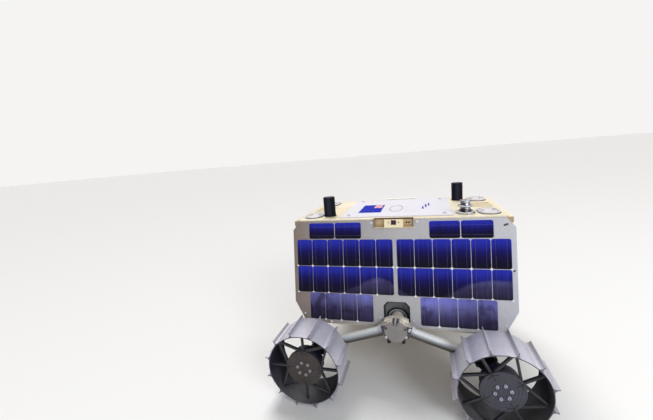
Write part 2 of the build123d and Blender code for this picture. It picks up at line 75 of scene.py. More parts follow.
# Sizes of the body that the pieces below are set out from
panel = {
    "tilt": radians(10),
    "halfWidth": 0.152,
    "thick": 0.005,
    "topZ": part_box("side_panel_near")[1].z,
    "cellFirstRow": 0.0465,
    "cellPitchX": 0.041,
    "cellPitchY": 0.068,
    "cellStart": 0.0041,
    "columns": 6,
    "lowerStart": 0.055,
    "lowerColumns": 4,
    "topStart": 0.0795,
    "topColumns": 2,
    "topPitch": 0.0685,
    "topMargin": 0.0051,
    "cellWidth": 0.0398,
    "cellHeight": 0.0666,
}
wheel = {
    "axleX": 0.205,
    "axleZ": (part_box("wheel_hub_front_near")[0].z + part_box("wheel_hub_front_near")[1].z) / 2,
}
pivotZ = (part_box("hub_cover_near")[0].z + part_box("hub_cover_near")[1].z) / 2
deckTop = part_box("deck_cover")[1].z
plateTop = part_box("payload_plate")[1].z
spoolMiddle = (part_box("deck_spool")[0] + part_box("deck_spool")[1]) / 2


# The node tree that the helpers below add to
drawing = {}


def put(kind, sockets=None, **settings):
    tree = drawing["tree"]
    node = tree.nodes.new("ShaderNode" + kind)
    for key, value in settings.items():
        setattr(node, key, value)
    for key, value in (sockets or {}).items():
        if isinstance(value, bpy.types.NodeSocket):
            tree.links.new(value, node.inputs[key])
        else:
            node.inputs[key].default_value = value
    return node


def calc(operation, *values):
    return put("Math", dict(enumerate(values)), operation=operation).outputs[0]


def times(first, second):
    return calc("MULTIPLY", first, second)


def plus(first, second):
    return calc("ADD", first, second)


def minus(first, second):
    return calc("SUBTRACT", first, second)


def absolute(value):
    return calc("ABSOLUTE", value)


# A colour as a socket takes it, with its fourth part
def solid(colour):
    return (*colour, 1) if isinstance(colour, tuple) else colour


def mixColours(factor, under, over, how="MIX"):
    sockets = {0: factor, 6: solid(under), 7: solid(over)}
    return put("Mix", sockets, data_type="RGBA", blend_type=how).outputs[2]


def mixValues(factor, under, over):
    return put("Mix", {0: factor, 2: under, 3: over}).outputs[0]


def ramp(factor, stops):
    node = put("ValToRGB", {0: factor})
    points = node.color_ramp.elements
    while len(points) < len(stops):
        points.new(0.5)
    for point, (place, colour) in zip(points, stops):
        point.position = place
        point.color = (*colour, 1)
    return node.outputs[0]


# A value between two limits turned into a number from low to high
def fade(value, start, stop, low=0.0, high=1.0):
    return put("MapRange", {0: value, 1: start, 2: stop, 3: low, 4: high}).outputs[0]


def within(value, low, high, soft=0.0002):
    return times(fade(value, low - soft, low + soft), fade(value, high - soft, high + soft, 1, 0))


# For a value that is never below zero
def upTo(value, high):
    return within(value, -0.01, high)


def axesOf(vector):
    return put("SeparateXYZ", {0: vector}).outputs


# Which way the surface faces
def facingAxes():
    return axesOf(put("TexCoord").outputs["Normal"])


def distance(across, up):
    return calc("SQRT", plus(times(across, across), times(up, up)))


# Distance from the nearer wheel's axle
def fromAxle(place):
    axes = axesOf(place)
    across = minus(absolute(axes[0]), wheel["axleX"])
    return distance(across, minus(axes[2], wheel["axleZ"]))


# 0 in the rear half of the rover and 1 in the front half
def frontHalf(axes, soft=0.05):
    return fade(axes[0], -soft, soft)


# Where a point lies on a side panel: along it, down its slope and proud of it
def onSlope(place):
    axes = axesOf(place)
    out = minus(absolute(axes[1]), panel["halfWidth"])
    below = minus(panel["topZ"], axes[2])
    tilt = panel["tilt"]
    down = plus(times(out, sin(tilt)), times(below, cos(tilt)))
    proud = minus(times(out, cos(tilt)), times(below, sin(tilt)))
    return axes[0], down, proud


# The side coating is browner and darker towards the rear as painted shade, and brighter and cooler towards the
# front as painted light
panelPaintedShading = {
    "reach": 0.26, "waver": 0.05,
    "stops": [
        (0.0, (0.48, 0.37, 0.29)), (0.12, (0.68, 0.61, 0.57)), (0.5, (1.0, 1.0, 1.0)),
        (1.0, (1.24, 1.25, 1.32)),
    ],
}


def panelPaintedLight(place, colour, cloud):
    waver, reach = panelPaintedShading["waver"], panelPaintedShading["reach"]
    # Painted shade towards the rear and painted light towards the front
    along = plus(axesOf(place)[0], fade(cloud, 0, 1, -waver, waver))
    return mixColours(1, colour, ramp(fade(along, -reach, reach), panelPaintedShading["stops"]), "MULTIPLY")


# Cream where it faces up, and a deeper gold on the edges and ends: painted shade on the faces that don't look
# up, deepest at the rear, and a darker brown over the rear end
goldShade = {
    "paintedShadeWall": (0.42, 0.31, 0.175), "paintedShadeRearWall": (0.27, 0.225, 0.16), "paintedShadeRearWallFrom": (-0.25, -0.23),
    "rearEnd": (0.34, 0.27, 0.19), "rearEndFrom": (-0.2505, -0.2485), "rearEndStrength": 0.75,
    "waver": 0.003,
}


def goldTintAndPaintedShade(place, colour, cloud):
    shade, waver = goldShade, goldShade["waver"]
    up = facingAxes()[2]
    paintedShadeRearWall = fade(axesOf(place)[0], *shade["paintedShadeRearWallFrom"], 1, 0)
    paintedShadeWall = mixColours(paintedShadeRearWall, shade["paintedShadeWall"], shade["paintedShadeRearWall"])
    along = plus(axesOf(place)[0], fade(cloud, 0.3, 0.7, -waver, waver))
    rearEnd = times(fade(along, *shade["rearEndFrom"], 1, 0), shade["rearEndStrength"])
    colour = mixColours(rearEnd, colour, shade["rearEnd"])
    # Painted shade on the faces that don't look up
    return mixColours(fade(up, 0.2, 0.9, 1, 0), colour, paintedShadeWall)


# Camera housing: cream block, brown bays as painted shade in their recess, darker towards their foot, and a
# lip with a painted shadow that makes it dark on the near side, pale on the far one
housingPaint = {
    "bayAside": (0.0222, 0.0442), "bayProud": (0.0022, 0.0060), "bayDown": (0.002, 0.014),
    "bayShadeTop": (0.62, 0.43, 0.24), "bayShadeFoot": (0.42, 0.27, 0.125),
    "blockAside": 0.0221, "block": (0.90, 0.78, 0.52),
    "endAside": (0.0436, 0.0440), "endStrength": 0.7, "end": (0.13, 0.062, 0.022),
    "lipDown": (-0.0016, -0.0012), "lipProud": (0.0066, 0.0070),
    "nearLipShadow": (0.055, 0.022, 0.008), "farLip": (0.76, 0.75, 0.73),
}


def housingTintAndPaintedShade(place, colour, cloud):
    paint = housingPaint
    along, down, proud = onSlope(place)
    aside = absolute(along)
    # Painted shade in the bays' recess, darker towards their foot
    bay = times(within(aside, *paint["bayAside"]), fade(proud, *paint["bayProud"], 1, 0))
    brown = mixColours(fade(down, *paint["bayDown"]), paint["bayShadeTop"], paint["bayShadeFoot"])
    colour = mixColours(bay, colour, brown)
    colour = mixColours(upTo(aside, paint["blockAside"]), colour, paint["block"])
    end = times(fade(aside, *paint["endAside"]), paint["endStrength"])
    colour = mixColours(end, colour, paint["end"])
    # Painted shadow on the near lip's front faces; the far lip stays pale
    lip = fade(down, *paint["lipDown"], 1, 0)
    up = facingAxes()[2]
    front = calc("MAXIMUM", fade(up, 0.6, 0.8, 1, 0), fade(proud, *paint["lipProud"]))
    farSide = fade(axesOf(place)[1], -0.01, 0.01)
    front = calc("MAXIMUM", front, farSide)
    return mixColours(times(lip, front), colour, mixColours(farSide, paint["nearLipShadow"], paint["farLip"]))


# Rolled sheet outside with a painted highlight as a bright fillet beside each grouser and painted shade across
# the rest of each stretch, and painted shade that darkens the inside of the band and its edges, more on the
# rear wheels
rimShading = {
    "grouserPitch": radians(30), "phase": 0.5, "wholeSteps": 24, "paintedShadeRadius": (0.0829, 0.0834),
    "sheen": [
        (0.0, (0.70, 0.69, 0.72)), (0.045, (0.82, 0.81, 0.84)), (0.10, (1.16, 1.14, 1.15)),
        (0.20, (1.06, 1.05, 1.07)), (0.62, (0.93, 0.94, 0.98)), (0.90, (0.80, 0.82, 0.88)),
        (0.955, (1.02, 1.0, 1.02)), (1.0, (0.72, 0.71, 0.74)),
    ],
    "edge": (0.08, 0.075, 0.10), "edgeShadeStrength": 0.75,
    "rearPaintedShading": ((0.022, 0.024, 0.038), (0.034, 0.034, 0.044)),
    "frontPaintedShading": ((0.042, 0.042, 0.056), (0.062, 0.058, 0.066)),
}


def rimPaintedLightAndShade(place, colour, cloud):
    paint = rimShading
    axes = axesOf(place)
    across = minus(axes[0], times(calc("SIGN", axes[0]), wheel["axleX"]))
    angle = calc("ARCTAN2", minus(axes[2], wheel["axleZ"]), across)
    steps = calc("DIVIDE", angle, paint["grouserPitch"])
    step = calc("FRACT", plus(steps, paint["wholeSteps"] + paint["phase"]))
    # Painted highlight beside each grouser and painted shade across the rest of each stretch
    colour = mixColours(1, colour, ramp(step, paint["sheen"]), "MULTIPLY")
    inside = fade(fromAxle(place), *paint["paintedShadeRadius"], 1, 0)
    # Painted shade on the faces that look along the axle
    facing = absolute(facingAxes()[1])
    colour = mixColours(times(fade(facing, 0.6, 0.9), paint["edgeShadeStrength"]), colour, paint["edge"])
    # Painted shade inside the band, darker on the rear wheels than on the front
    rearPaintedShading = mixColours(cloud, *paint["rearPaintedShading"])
    frontPaintedShading = mixColours(cloud, *paint["frontPaintedShading"])
    return mixColours(inside, colour, mixColours(frontHalf(axes), rearPaintedShading, frontPaintedShading))


# Bare metal outside the rim's band, and inside it, under the painted shade, a dull surface that is not metal
def rimMetal(place):
    return fade(fromAxle(place), *rimShading["paintedShadeRadius"])


# Turned rings on the disc's face, painted light that makes the front wheels' discs lighter than the rear ones,
# and a blue-black drum behind
hubPaint = {
    "frontPaintedShading": ((0.052, 0.052, 0.070), (0.078, 0.076, 0.096)),
    "ringPitch": 0.0062, "ring": (0.026, 0.022, 0.024),
    "drumOut": (0.3004, 0.3008), "drum": (0.007, 0.011, 0.034),
}


def hubTint(place, colour, cloud):
    radius = fromAxle(place)
    axes = axesOf(place)
    front = frontHalf(axes)
    # Painted light on the front wheels' discs
    colour = mixColours(front, colour, mixColours(cloud, *hubPaint["frontPaintedShading"]))
    ring = calc("SINE", times(radius, 2 * pi / hubPaint["ringPitch"]))
    colour = mixColours(fade(ring, 0.55, 1, 0, 0.5), colour, hubPaint["ring"])
    outward = absolute(axes[1])
    return mixColours(fade(outward, *hubPaint["drumOut"], 1, 0), colour, hubPaint["drum"])


# Seal ring lighter than the recess as a painted highlight on its lit edge, with black between it and the tube
# and round the arch
pivotPaint = {
    "rings": [
        (0.0, 0.0188, (0.006, 0.006, 0.007)), (0.0190, 0.0228, (0.26, 0.285, 0.33)),
        (0.0230, 0.0262, (0.014, 0.014, 0.017)),
    ],
    "archOut": (0.1735, 0.1775), "arch": (0.008, 0.008, 0.009),
}


def pivotTint(place, colour, cloud):
    axes = axesOf(place)
    radius = distance(axes[0], minus(axes[2], pivotZ))
    out = absolute(axes[1])
    # The middle ring is a painted highlight on the seal ring's lit edge
    for inner, outer, ringColour in pivotPaint["rings"]:
        colour = mixColours(within(radius, inner, outer), colour, ringColour)
    return mixColours(fade(out, *pivotPaint["archOut"]), colour, pivotPaint["arch"])


# Cream pivot tube and clamp ears on a duller block, with a painted shadow on the lower side faces of the arms
rockerPaint = {
    "tubeOut": (0.2015, 0.2022), "topZ": (pivotZ + 0.004, pivotZ + 0.010),
    "earOut": (0.2143, 0.2148), "earZ": (pivotZ + 0.008, pivotZ + 0.013),
    "cream": ((0.82, 0.75, 0.61), (0.94, 0.88, 0.76)),
    "armAside": (0.0235, 0.0240), "armZ": (pivotZ + 0.008, pivotZ + 0.011), "arm": (0.085, 0.083, 0.105),
    "crestAside": 0.0085, "crestOut": (0.2130, 0.2150), "crest": (0.30, 0.28, 0.26),
}


def rockerTint(place, colour, cloud):
    paint = rockerPaint
    axes = axesOf(place)
    out = absolute(axes[1])
    tube = fade(out, *paint["tubeOut"], 1, 0)
    up = facingAxes()[2]
    top = times(fade(up, 0.2, 0.6), fade(axes[2], *paint["topZ"]))
    ear = times(fade(out, *paint["earOut"], 1, 0), fade(axes[2], *paint["earZ"]))
    pale = calc("MAXIMUM", calc("MAXIMUM", tube, ear), top)
    aside = absolute(axes[0])
    facing = absolute(facingAxes()[1])
    # Painted shadow on the lower side faces of the arms
    armSide = times(fade(aside, *paint["armAside"]), fade(facing, 0.6, 0.9))
    arm = times(armSide, fade(axes[2], *paint["armZ"], 1, 0))
    colour = mixColours(arm, colour, paint["arm"])
    colour = mixColours(pale, colour, mixColours(cloud, *paint["cream"]))
    crest = times(upTo(aside, paint["crestAside"]), times(top, fade(out, *paint["crestOut"])))
    return mixColours(crest, colour, paint["crest"])


# Tubes with painted shade dark on their undersides and a painted highlight bright on top, from straight down
# to straight up
tubePaintedShading = [
    (0.0, (0.07, 0.055, 0.045)), (0.235, (0.095, 0.080, 0.070)), (0.485, (0.25, 0.24, 0.235)),
    (0.735, (0.74, 0.78, 0.83)), (0.925, (1.28, 1.28, 1.28)), (1.0, (1.44, 1.32, 1.14)),
]


def tubePaintedLight(place, colour, cloud):
    up = facingAxes()[2]
    # Painted shade underneath and a painted highlight on top
    return mixColours(1, colour, ramp(fade(up, -1, 1), tubePaintedShading), "MULTIPLY")


# A faint blue painted sheen down the middle of each stub
stubSheen = {
    "shift": 0.0035, "aside": 0.169, "reach": (-0.006, 0.004), "soft": 0.004, "strength": 0.85,
    "colour": (0.024, 0.025, 0.050),
}


def stubPaintedSheen(place, colour, cloud):
    axes = axesOf(place)
    across = minus(absolute(plus(axes[0], stubSheen["shift"])), stubSheen["aside"])
    # Painted sheen down the middle of each stub
    sheen = times(within(across, *stubSheen["reach"], stubSheen["soft"]), stubSheen["strength"])
    return mixColours(sheen, colour, stubSheen["colour"])


# Turned steel with a painted reflection, dark on the flanks of the spool's waists and top rim beside a bright
# middle, so the waists look duller than the discs: foot, top and softness of each stretch
spoolShade = {
    "shift": 0.003, "waistAside": (0.003, 0.006), "waistReflection": (0.10, 0.085, 0.10),
    "lowWaist": (0.0065, 0.0158, 0.0008), "highWaist": (0.0204, 0.0265, 0.0008),
    "rimHigh": (0.0268, 0.0325, 0.0004), "rimAside": (0.004, 0.008), "rimStrength": 0.7,
    "rim": (0.10, 0.10, 0.10),
}


def spoolPaintedReflection(place, colour, cloud):
    shade = spoolShade
    axes = axesOf(place)
    height = minus(axes[2], deckTop)
    across = minus(axes[0], spoolMiddle.x + shade["shift"])
    # Painted reflection: dark flanks beside a bright middle
    flank = fade(absolute(across), *shade["waistAside"])
    waistReflection = calc("MAXIMUM", within(height, *shade["lowWaist"]), within(height, *shade["highWaist"]))
    colour = mixColours(times(waistReflection, flank), colour, shade["waistReflection"])
    rim = times(within(height, *shade["rimHigh"]), fade(absolute(across), *shade["rimAside"]))
    return mixColours(times(rim, shade["rimStrength"]), colour, shade["rim"])


# Screws on the rear wheels are duller than on the front ones: painted shade
screwShade = {"wheelsOut": (0.27, 0.28), "rear": (0.38, 0.33, 0.38), "front": (0.50, 0.50, 0.66)}


def screwPaintedShade(place, colour, cloud):
    axes = axesOf(place)
    onWheel = fade(absolute(axes[1]), *screwShade["wheelsOut"])
    # Painted shade on the rear wheels' screws
    wheelScrew = mixColours(frontHalf(axes, 0.01), screwShade["rear"], screwShade["front"])
    return mixColours(onWheel, colour, wheelScrew)


def startFinish(name, look):
    material = bpy.data.materials.new(name)
    material.use_nodes = True
    tree = material.node_tree
    drawing["tree"] = tree
    shader = tree.nodes["Principled BSDF"]
    shader.inputs["Metallic"].default_value = look.get("metallic", 0)
    shader.inputs["Specular IOR Level"].default_value = look.get("specular", 0.5)
    return material, tree, shader, put("TexCoord").outputs["Object"]


dustColour = (0.66, 0.62, 0.60)
coatRough = 0.85  # where a finish is metal only in part


# Cloudy colour, fine grain in the roughness and bump, worn edges, and a little dust on what faces up
def surfaceFinish(name, look):
    material, tree, shader, place = startFinish(name, look)
    soft = put("Bevel", {"Radius": look.get("edge", 0.0008)}, samples=3).outputs[0]
    flat = put("NewGeometry").outputs["Normal"]
    even = put("VectorMath", {0: soft, 1: flat}, operation="DOT_PRODUCT").outputs["Value"]
    cloud = put("TexNoise", {"Vector": place, "Scale": look["cloud"], "Detail": 5}).outputs[0]
    spots = put("TexNoise", {"Vector": place, "Scale": 160, "Detail": 3}).outputs[0]
    colour = mixColours(fade(cloud, 0.3, 0.7), look["colour"], look["shade"])
    if "tint" in look:
        colour = look["tint"](place, colour, cloud)
    speckle = look.get("speck", 0.08)
    speck = fade(spots, 0.25, 0.75, 1 - speckle, 1 + speckle)
    grey = put("CombineColor", {0: speck, 1: speck, 2: speck}).outputs[0]
    colour = mixColours(1, colour, grey, "MULTIPLY")
    stretched = put("Mapping", {"Vector": place, "Scale": look.get("grain", (500, 500, 500))}).outputs[0]
    grain = put("TexNoise", {"Vector": stretched, "Scale": 1, "Detail": 4}).outputs[0]
    if look.get("dust"):
        up = axesOf(put("NewGeometry").outputs["Normal"])[2]
        dusty = times(fade(up, 0.1, 1), fade(cloud, 0.2, 0.8, 0, look["dust"]))
        colour = mixColours(dusty, colour, dustColour)
    worn = times(fade(even, 0.99, 0.93), fade(spots, 0.35, 0.6, 0.2, look.get("wear", 0.6)))
    colour = mixColours(worn, colour, look.get("bare", (0.72, 0.71, 0.71)))
    tree.links.new(colour, shader.inputs["Base Color"])
    low, high = look["rough"]
    rough = fade(grain, 0.25, 0.75, low, high)
    if "metal" in look:
        bright = look["metal"](place)
        tree.links.new(times(bright, look["metallic"]), shader.inputs["Metallic"])
        rough = mixValues(bright, coatRough, rough)
    tree.links.new(rough, shader.inputs["Roughness"])
    sockets = {"Height": grain, "Distance": look.get("depth", 0.00004), "Strength": 0.5, "Normal": soft}
    bump = put("Bump", sockets)
    tree.links.new(bump.outputs[0], shader.inputs["Normal"])
    return material


# A row of the table of finishes: two colours that cloud into each other, the clouds' scale, the roughness
def finish(colour, shade, cloud, rough=(0.4, 0.55), **more):
    return {"colour": colour, "shade": shade, "cloud": cloud, "rough": rough, **more}


finishes = {
    "panel_coat": finish((0.485, 0.475, 0.485), (0.415, 0.41, 0.43), 6, (0.40, 0.52), specular=0.35,
        speck=0.05, tint=panelPaintedLight),
    "gold_finish": finish((0.86, 0.76, 0.56), (0.78, 0.66, 0.44), 18, (0.36, 0.5), metallic=0.2,
        grain=(60, 900, 900), bare=(0.84, 0.76, 0.60), tint=goldTintAndPaintedShade),
    "deck_gold": finish((0.80, 0.73, 0.575), (0.73, 0.62, 0.42), 10, (0.4, 0.52), metallic=0.1,
        grain=(40, 900, 900), bare=(0.92, 0.88, 0.78)),
    "cover_gold": finish((0.60, 0.50, 0.31), (0.50, 0.40, 0.23), 16, metallic=0.2, bare=(0.82, 0.74, 0.56)),
    "housing_gold": finish((0.66, 0.55, 0.40), (0.56, 0.45, 0.30), 30, (0.38, 0.5), metallic=0.15,
        bare=(0.80, 0.66, 0.44), wear=0.2, edge=0.0003, tint=housingTintAndPaintedShade),
    "bay_tan": finish((0.46, 0.38, 0.20), (0.56, 0.45, 0.27), 90, (0.35, 0.5), metallic=0.2,
        bare=(0.8, 0.7, 0.5), edge=0.0003),
    "white_plate": finish((0.74, 0.715, 0.785), (0.67, 0.655, 0.72), 6, (0.4, 0.5), specular=0.35,
        speck=0.03),
    "end_coat": finish((0.56, 0.49, 0.39), (0.48, 0.42, 0.34), 8),
    "end_access": finish((0.62, 0.56, 0.46), (0.55, 0.49, 0.40), 12, (0.38, 0.5), metallic=0.15),
    "belly_coat": finish((0.58, 0.50, 0.38), (0.46, 0.39, 0.30), 9, (0.45, 0.6)),
    "pad_metal": finish((0.62, 0.61, 0.63), (0.52, 0.51, 0.52), 30, (0.28, 0.42), metallic=0.6),
    "pad_lid": finish((0.70, 0.66, 0.69), (0.62, 0.57, 0.59), 30, (0.32, 0.45), metallic=0.2),
    "black_coat": finish((0.0055, 0.0052, 0.0095), (0.0035, 0.0035, 0.0065), 40, (0.42, 0.6), specular=0.08,
        grain=(900, 900, 60), bare=(0.12, 0.12, 0.13), tint=stubPaintedSheen),
    "gap_dark": finish((0.070, 0.064, 0.064), (0.105, 0.098, 0.096), 200, (0.6, 0.75), specular=0.1,
        bare=(0.09, 0.085, 0.085), edge=0.0001),
    "gasket_black": finish((0.024, 0.022, 0.028), (0.040, 0.037, 0.044), 80, (0.6, 0.75), specular=0.2,
        bare=(0.06, 0.06, 0.06)),
    "spool_metal": finish((0.60, 0.61, 0.66), (0.46, 0.47, 0.50), 60, (0.16, 0.28), metallic=1.0,
        grain=(40, 40, 3000), tint=spoolPaintedReflection),
    "camera_glass": finish((0.030, 0.010, 0.022), (0.050, 0.018, 0.040), 90, (0.05, 0.10), specular=0.3,
        depth=0.000001),
    "housing_dark": finish((0.22, 0.23, 0.24), (0.28, 0.26, 0.28), 25, (0.45, 0.62), specular=0.2,
        bare=(0.16, 0.17, 0.18), tint=pivotTint),
    "hub_metal": finish((0.36, 0.34, 0.32), (0.28, 0.265, 0.255), 30, (0.38, 0.52), metallic=0.35,
        tint=rockerTint),
    "cover_metal": finish((0.27, 0.25, 0.245), (0.215, 0.20, 0.20), 35, (0.42, 0.58), metallic=0.25),
    "tube_metal": finish((0.66, 0.67, 0.67), (0.56, 0.58, 0.59), 20, (0.42, 0.54), metallic=0.25,
        specular=0.25, grain=(60, 900, 900), tint=tubePaintedLight),
    "knob_pink": finish((0.80, 0.62, 0.64), (0.70, 0.50, 0.52), 150, (0.25, 0.35), bare=(0.9, 0.86, 0.86)),
    "motor_black": finish((0.012, 0.012, 0.017), (0.020, 0.019, 0.024), 35, (0.32, 0.48), specular=0.2,
        bare=(0.08, 0.08, 0.09)),
    "wheel_metal": finish((0.65, 0.645, 0.70), (0.49, 0.485, 0.545), 11, (0.34, 0.48), metallic=0.45,
        specular=0.0, metal=rimMetal, grain=(700, 60, 700), dust=0.25, bare=(0.90, 0.88, 0.90), edge=0.0006,
        tint=rimPaintedLightAndShade),
    "spoke_dark": finish((0.028, 0.028, 0.036), (0.044, 0.043, 0.052), 25, (0.4, 0.58), specular=0.25,
        bare=(0.11, 0.11, 0.13)),
    "hub_dark": finish((0.044, 0.036, 0.033), (0.064, 0.053, 0.049), 22, (0.42, 0.6), specular=0.25,
        bare=(0.13, 0.13, 0.14), tint=hubTint),
    "box_grey": finish((0.45, 0.46, 0.48), (0.38, 0.39, 0.41), 14),
    "bolt_steel": finish((0.60, 0.60, 0.64), (0.44, 0.44, 0.48), 120, (0.24, 0.38), metallic=0.9),
    "bolt_pale": finish((0.80, 0.76, 0.82), (0.66, 0.62, 0.68), 150, (0.28, 0.4), metallic=0.3, edge=0.0002,
        tint=screwPaintedShade),
    "bolt_dark": finish((0.050, 0.045, 0.050), (0.085, 0.078, 0.082), 120, (0.3, 0.45), metallic=0.4,
        bare=(0.2, 0.2, 0.2), edge=0.0002),
    "cell_backing": finish((0.52, 0.51, 0.54), (0.44, 0.43, 0.46), 30, (0.4, 0.5), wear=0.2,
        tint=panelPaintedLight),
    "cell_tab": finish((0.86, 0.86, 0.90), (0.76, 0.76, 0.80), 90, (0.25, 0.35), metallic=0.3),
    "cell_busbar": finish((0.135, 0.125, 0.24), (0.060, 0.055, 0.13), 60, (0.3, 0.4), metallic=0.1,
        specular=0.2, bare=(0.2, 0.2, 0.3), wear=0.2, edge=0.0001),
    "sticker_blue": finish((0.026, 0.036, 0.37), (0.044, 0.056, 0.47), 60, (0.4, 0.5), specular=0.0,
        wear=0.1, edge=0.0001),
    "sticker_pale": finish((0.70, 0.24, 0.27), (0.80, 0.56, 0.62), 160, (0.4, 0.5), specular=0.0, wear=0.1,
        edge=0.0001),
    "print_brown": finish((0.26, 0.20, 0.19), (0.40, 0.33, 0.30), 120, (0.4, 0.5), specular=0.0, wear=0.1,
        edge=0.0001),
}
materials = {name: surfaceFinish(name, look) for name, look in finishes.items()}


# Painted reflection on the cells: blue at each cell's top edge that falls to near black at its foot, and a
# violet painted reflection lower down with dark blotches in it
cellLook = {
    "streaks": (260, 30, 6), "columnUneven": 0.05, "streakUneven": 0.07,
    "secondRowDrop": 0.03, "lowRightShare": 0.22,
    "upper": [
        (0.0, (0.024, 0.032, 0.41)), (0.14, (0.020, 0.026, 0.34)), (0.42, (0.0110, 0.0090, 0.108)),
        (0.68, (0.0080, 0.0060, 0.034)), (1.0, (0.0070, 0.0062, 0.0100)),
    ],
    "violetReflection": [
        (0.0, (0.205, 0.208, 0.64)), (0.26, (0.150, 0.145, 0.38)), (0.58, (0.062, 0.054, 0.155)),
        (1.0, (0.022, 0.020, 0.034)),
    ],
    "lowRow": (1.98, 2.02), "rightReflection": (0.235, 0.075), "middleReflection": (0.045, 0.04),
    "reflectionReach": 0.7, "reflectionUneven": 0.12, "reflectionStrength": 0.8, "reflectedBlotch": (0.020, 0.014, 0.035),
}


def cellFinish():
    material, tree, shader, place = startFinish("solar_cell", {"specular": 0.05})
    axes = axesOf(place)
    down = calc("DIVIDE", minus(panel["topZ"], axes[2]), cos(panel["tilt"]))
    rows = calc("DIVIDE", minus(down, panel["cellFirstRow"]), panel["cellPitchY"])
    topFade = calc("DIVIDE", minus(down, panel["topMargin"]), panel["cellWidth"])
    fall = mixValues(calc("LESS_THAN", rows, 0), calc("FRACT", rows), topFade)
    columns = calc("FLOOR", calc("DIVIDE", axes[0], panel["cellPitchX"]))
    cell = put("CombineXYZ", {0: columns, 1: calc("FLOOR", rows)}).outputs[0]
    chance = put("TexWhiteNoise", {"Vector": cell}, noise_dimensions="3D").outputs[0]
    streaks = put("Mapping", {"Vector": place, "Scale": cellLook["streaks"]}).outputs[0]
    streak = put("TexNoise", {"Vector": streaks, "Scale": 1, "Detail": 3}).outputs[0]
    wave = put("TexNoise", {"Vector": place, "Scale": 9, "Detail": 2}).outputs[0]
    waver = cellLook["columnUneven"]
    uneven = plus(fall, fade(chance, 0, 1, -waver, waver))
    waver = cellLook["streakUneven"]
    uneven = plus(uneven, fade(streak, 0.3, 0.7, -waver, waver))
    secondRow = within(rows, 1, 2, 0.01)
    uneven = minus(uneven, times(secondRow, cellLook["secondRowDrop"]))
    lowRight = times(fade(rows, *cellLook["lowRow"]), frontHalf(axes))
    share = cellLook["lowRightShare"]
    violetReflectionFall = minus(uneven, times(lowRight, minus(share, times(uneven, share))))
    # Painted reflection: blue at each cell's top edge falling to near black at its foot
    upper = ramp(uneven, cellLook["upper"])
    # Violet painted reflection lower down
    violetReflection = ramp(violetReflectionFall, cellLook["violetReflection"])
    lowRow = fade(rows, *cellLook["lowRow"])
    middle, spread = cellLook["rightReflection"]
    aside = minus(axes[0], middle)
    rightReflection = calc("DIVIDE", times(aside, aside), -2 * spread ** 2)
    middle, spread = cellLook["middleReflection"]
    aside = plus(axes[0], middle)
    middleReflection = calc("DIVIDE", times(aside, aside), -2 * spread ** 2)
    reach = calc("MAXIMUM", calc("EXPONENT", rightReflection), calc("EXPONENT", middleReflection))
    waver = cellLook["reflectionUneven"]
    edge = plus(times(reach, cellLook["reflectionReach"]), fade(wave, 0.3, 0.7, -waver, waver))
    # Where the violet painted reflection rises into the second row
    lowReflection = times(fade(minus(plus(rows, edge), 2), 0, 0.12), cellLook["reflectionStrength"])
    shape = calc("MAXIMUM", lowRow, lowReflection)
    colour = mixColours(shape, upper, violetReflection)
    ripple = put("TexNoise", {"Vector": place, "Scale": 24, "Detail": 3, "Distortion": 1.2}).outputs[0]
    # Dark blotches in the violet painted reflection
    dark = plus(fade(wave, 0.35, 0.65, 0, 0.35), fade(ripple, 0.50, 0.64, 0, 0.42))
    colour = mixColours(times(dark, shape), colour, cellLook["reflectedBlotch"])
    tree.links.new(colour, shader.inputs["Base Color"])
    tree.links.new(fade(streak, 0.3, 0.7, 0.12, 0.24), shader.inputs["Roughness"])
    bump = put("Bump", {"Height": wave, "Distance": 0.0001, "Strength": 0.2})
    tree.links.new(bump.outputs[0], shader.inputs["Normal"])
    return material


materials["solar_cell"] = cellFinish()
ownFinish = {"end_covers": "cover_gold", "camera_housings": "housing_gold"}
for node, part in nodes.items():
    slotName = next(row["material_slot"] for row in frame["record"]["subparts"] if row["node"] == node)
    part.data.materials.clear()
    part.data.materials.append(materials[ownFinish.get(node, slotName)])
print("materials made:", len(materials))


# Makes one piece from copies of shapes at their places, in metres, and hands it to its body
def addPiece(name, placed, material, body="chassis", rounded=0, smoothAngle=35):
    corners, faces = scatter(placed)
    mesh = bpy.data.meshes.new(name)
    mesh.from_pydata([tuple(corner) for corner in corners], [], faces)
    outline = bmesh.new()
    outline.from_mesh(mesh)
    bmesh.ops.recalc_face_normals(outline, faces=outline.faces)
    outline.to_mesh(mesh)
    outline.free()
    mesh.shade_smooth()
    mesh.set_sharp_from_angle(angle=radians(smoothAngle))
    mesh.materials.append(materials[material])
    piece = bpy.data.objects.new(name, mesh)
    link(piece)
    if rounded:
        edge = piece.modifiers.new("rounded", "BEVEL")
        edge.width = rounded
        edge.segments = 2
        edge.limit_method = "ANGLE"
        edge.harden_normals = True
    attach(piece, body)
    return piece


# Stands a shape on a side panel: its X along the panel, its Y up the slope, its Z out
def onPanel(side, along=0.0, down=0.0, proud=0.0):
    tilt = panel["tilt"]
    out = Vector((0, side * cos(tilt), sin(tilt)))
    up = Vector((0, -side * sin(tilt), cos(tilt)))
    foot = Vector((along, side * panel["halfWidth"], panel["topZ"])) - down * up + proud * out
    turn = Matrix((Vector((1, 0, 0)), up, out)).transposed().to_4x4()
    return Matrix.Translation(foot) @ turn


def upright(x, y, z):
    return Matrix.Translation((x, y, z))


# Stands a turned shape on a face that looks out to one side
def facingOut(side, x, y, z):
    return Matrix.Translation((x, y, z)) @ Matrix.Rotation(side * -pi / 2, 4, "X")


# Stands a slab on such a face, its Y up and its Z out
def slabOut(side, x, y, z):
    return Matrix(((1, 0, 0, x), (0, 0, side, y), (0, 1, 0, z), (0, 0, 0, 1)))


